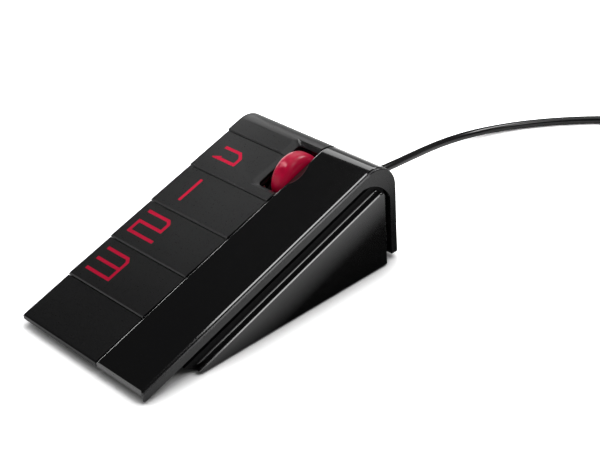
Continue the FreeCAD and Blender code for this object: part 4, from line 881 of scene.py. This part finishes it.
# screws seen from below: a cross recess in each head
recess = {"length": 2.3, "width": 0.5, "depth": 0.7, "headArea": 8.0, "headLevel": 0.7, "below": 1.0}
for nodeName in ("housing_screws", "bracket_screws"):
    piece = copyNode(nodeName, nodeName + "_finished")
    heads = []
    for face in piece.data.polygons:
        isLow = face.normal.z < -facing and face.center.z < recess["headLevel"] * mm
        if isLow and face.area > recess["headArea"] * mm * mm:
            heads.append([c / mm for c in face.center])
    long, thin = recess["length"] / 2, recess["width"] / 2
    arms = []
    for halfX, halfY in ((long, thin), (thin, long)):
        arms.append(addBox("driver", (-halfX, -halfY, -recess["below"]), (halfX, halfY, recess["depth"])))
    for place in heads:
        for arm in arms:
            cutter = copyTo(arm, place)
            applyModifier(piece, "BOOLEAN", {"object": cutter, "operation": "DIFFERENCE", "solver": "EXACT"})
            bpy.data.objects.remove(cutter)
    for arm in arms:
        bpy.data.objects.remove(arm)
    smoothAll(piece, angle=30.0)
    print(nodeName, len(heads), "heads")
print("screws finished")

# floor and light; the lens sees the paper overexposed, and a painted contact shadow darkens it close under
# the machine
paper = {"size": 8.0, "colour": 0.9, "toLens": 1.5, "toGloss": 0.3, "paintedShadeReach": 8.0,
         "paintedShadeDepth": 1.1, "paintedShadeEnd": 64.0, "paintedShadeGone": 74.0}
bpy.ops.mesh.primitive_plane_add(size=paper["size"], location=(0, 0, 0))
floor = bpy.context.object
floor.name = "floor"
sweep, tree = newMaterial("paperSweep")  # matt white studio paper
path = addNode(tree, "ShaderNodeLightPath")
mirrored = addMath(tree, "MAXIMUM",
                   {0: path.outputs["Is Glossy Ray"], 1: path.outputs["Is Transmission Ray"]})
toGloss = addMath(tree, "MULTIPLY_ADD", {0: mirrored.outputs[0]}, {1: paper["toGloss"], 2: paper["colour"]})
toLens = addMath(tree, "MULTIPLY_ADD", {0: path.outputs["Is Camera Ray"], 2: toGloss.outputs[0]},
                 {1: paper["toLens"]})
# painted contact shadow: an occlusion test darkens the paper close under the machine, not under the cable
# behind it
paintedShadeOcclusion = addNode(tree, "ShaderNodeAmbientOcclusion", {"samples": 16, "Distance": paper["paintedShadeReach"] * mm})
spot = addNode(tree, "ShaderNodeTexCoord")
spotParts = addNode(tree, "ShaderNodeSeparateXYZ", links={0: spot.outputs["Object"]})
end, gone = paper["paintedShadeEnd"] * mm, paper["paintedShadeGone"] * mm
depth = addRange(tree, spotParts.outputs["Y"], end, gone, paper["paintedShadeDepth"], 0.0)
paintedContactShade = addMath(tree, "POWER", {0: paintedShadeOcclusion.outputs["AO"], 1: depth.outputs["Result"]})
tone = addMath(tree, "MULTIPLY", {0: toLens.outputs[0], 1: paintedContactShade.outputs[0]})
matt = addNode(tree, "ShaderNodeBsdfDiffuse", links={"Color": tone.outputs[0]})
addNode(tree, "ShaderNodeOutputMaterial", links={"Surface": matt.outputs[0]})
wear(floor, sweep)

# strengths of the room: for matt surfaces, and for gloss near the horizon and overhead
room = {"matt": 0.3, "horizon": 0.4, "overhead": 0.04, "fadeFrom": 0.02, "fadeTo": 0.45}
world = bpy.data.worlds.new("studio")
bpy.context.scene.world = world
world.use_nodes = True
tree = world.node_tree
tree.nodes.clear()
path = addNode(tree, "ShaderNodeLightPath")
direction = addNode(tree, "ShaderNodeTexCoord")
height = addNode(tree, "ShaderNodeSeparateXYZ", links={0: direction.outputs["Generated"]})
fade = addRange(tree, height.outputs["Z"], room["fadeFrom"], room["fadeTo"],
                room["horizon"], room["overhead"])
soft = addNode(tree, "ShaderNodeMix", {"data_type": "FLOAT", 2: room["matt"]},
               {0: path.outputs["Is Glossy Ray"], 3: fade.outputs["Result"]})
white = addMath(tree, "MAXIMUM", {0: path.outputs["Is Camera Ray"], 1: path.outputs["Is Transmission Ray"]})
strength = addNode(tree, "ShaderNodeMix", {"data_type": "FLOAT", 3: 1.0},
                   {0: white.outputs[0], 2: soft.outputs[0]})
sky = addNode(tree, "ShaderNodeBackground", {"Color": toLinear("#ffffff")},
              {"Strength": strength.outputs[0]})
addNode(tree, "ShaderNodeOutputWorld", links={"Surface": sky.outputs[0]})

# place, aim, width and height in metres, watts, spread in degrees where a grid narrows it
lamps = {
    "rearSoftbox": ((-0.130, 0.148, 0.142), (0.0, 0.045, 0.030), (0.17, 0.072), 0.056),
    "deckBeam": ((-0.201, -0.059, 0.308), (-0.012, 0.024, 0.0260), (0.036, 0.05), 0.0035, 14.6),
    "topSoftbox": ((-0.03, 0.26, 0.5), (-0.03, 0.2, 0.02), (0.6, 0.62), 1.3),
    "cableSoftbox": ((0.10, 0.35, 0.36), (0.0, 0.1, 0.0), (0.12, 0.2), 1.2),
    "rightSoftbox": ((0.40, 0.09, 0.43), (0.02, 0.0, 0.02), (0.16, 0.22), 0.6),
    "leftStrip": ((-0.38, 0.17, 0.08), (0.0, 0.02, 0.02), (0.30, 0.12), 0.6),
    "frontCard": ((-0.42, -0.50, 0.10), (0.0, -0.03, 0.01), (0.5, 0.16), 0.22),
}
for lampName, (place, aim, size, watts, *grid) in lamps.items():
    bpy.ops.object.light_add(type="AREA", location=place)
    lamp = bpy.context.object
    lamp.name = lampName
    lamp.rotation_euler = (Vector(aim) - Vector(place)).to_track_quat("-Z", "Y").to_euler()
    lamp.data.shape = "RECTANGLE"
    lamp.data.size, lamp.data.size_y = size
    lamp.data.energy = watts
    if grid:
        lamp.data.spread = math.radians(grid[0])
bpy.data.objects["cableSoftbox"].visible_diffuse = False

# painted shadow on the floor to the right of the machine: a dark sheet which only the gloss sees, standing
# in for the machine's shadow in the side plate's reflection; it fades out away from the side plate
paintedShadowCard = {"low": (31.3, -45.0, 0.3), "high": (80.0, 110.0, 0.3), "slant": 0.3,
        "darkTo": 31.0, "clearFrom": 43.0}
paintedShadowMiddle = [(a + b) / 2 * mm for a, b in zip(paintedShadowCard["low"], paintedShadowCard["high"])]
bpy.ops.mesh.primitive_plane_add(size=1.0, location=paintedShadowMiddle)
paintedShadowFlag = bpy.context.object
paintedShadowFlag.name = "painted_shadow_card"
paintedShadowFlag.scale = ((paintedShadowCard["high"][0] - paintedShadowCard["low"][0]) * mm, (paintedShadowCard["high"][1] - paintedShadowCard["low"][1]) * mm, 1.0)
applyPlace(paintedShadowFlag)
paintedShadowMaterial, tree = newMaterial("paintedShadowSheet")  # a dark sheet of painted shadow, seen only in reflections
place = addNode(tree, "ShaderNodeTexCoord")
across = addNode(tree, "ShaderNodeVectorMath", {"operation": "DOT_PRODUCT", 1: (1.0, -paintedShadowCard["slant"], 0.0)},
                 {0: place.outputs["Object"]})
paintedShadowCover = addRange(tree, across.outputs["Value"], paintedShadowCard["darkTo"] * mm, paintedShadowCard["clearFrom"] * mm, 1.0, 0.0)
clear = addNode(tree, "ShaderNodeBsdfTransparent")
dark = addNode(tree, "ShaderNodeBsdfDiffuse", {"Color": toLinear("#262626")})
layers = {0: paintedShadowCover.outputs["Result"], 1: clear.outputs[0], 2: dark.outputs[0]}
mix = addNode(tree, "ShaderNodeMixShader", links=layers)
addNode(tree, "ShaderNodeOutputMaterial", links={"Surface": mix.outputs[0]})
wear(paintedShadowFlag, paintedShadowMaterial)
paintedShadowFlag.visible_camera = False
paintedShadowFlag.visible_diffuse = False
paintedShadowFlag.visible_shadow = False
bpy.context.scene.view_settings.view_transform = "Standard"
print("lit")

bpy.context.view_layer.update()
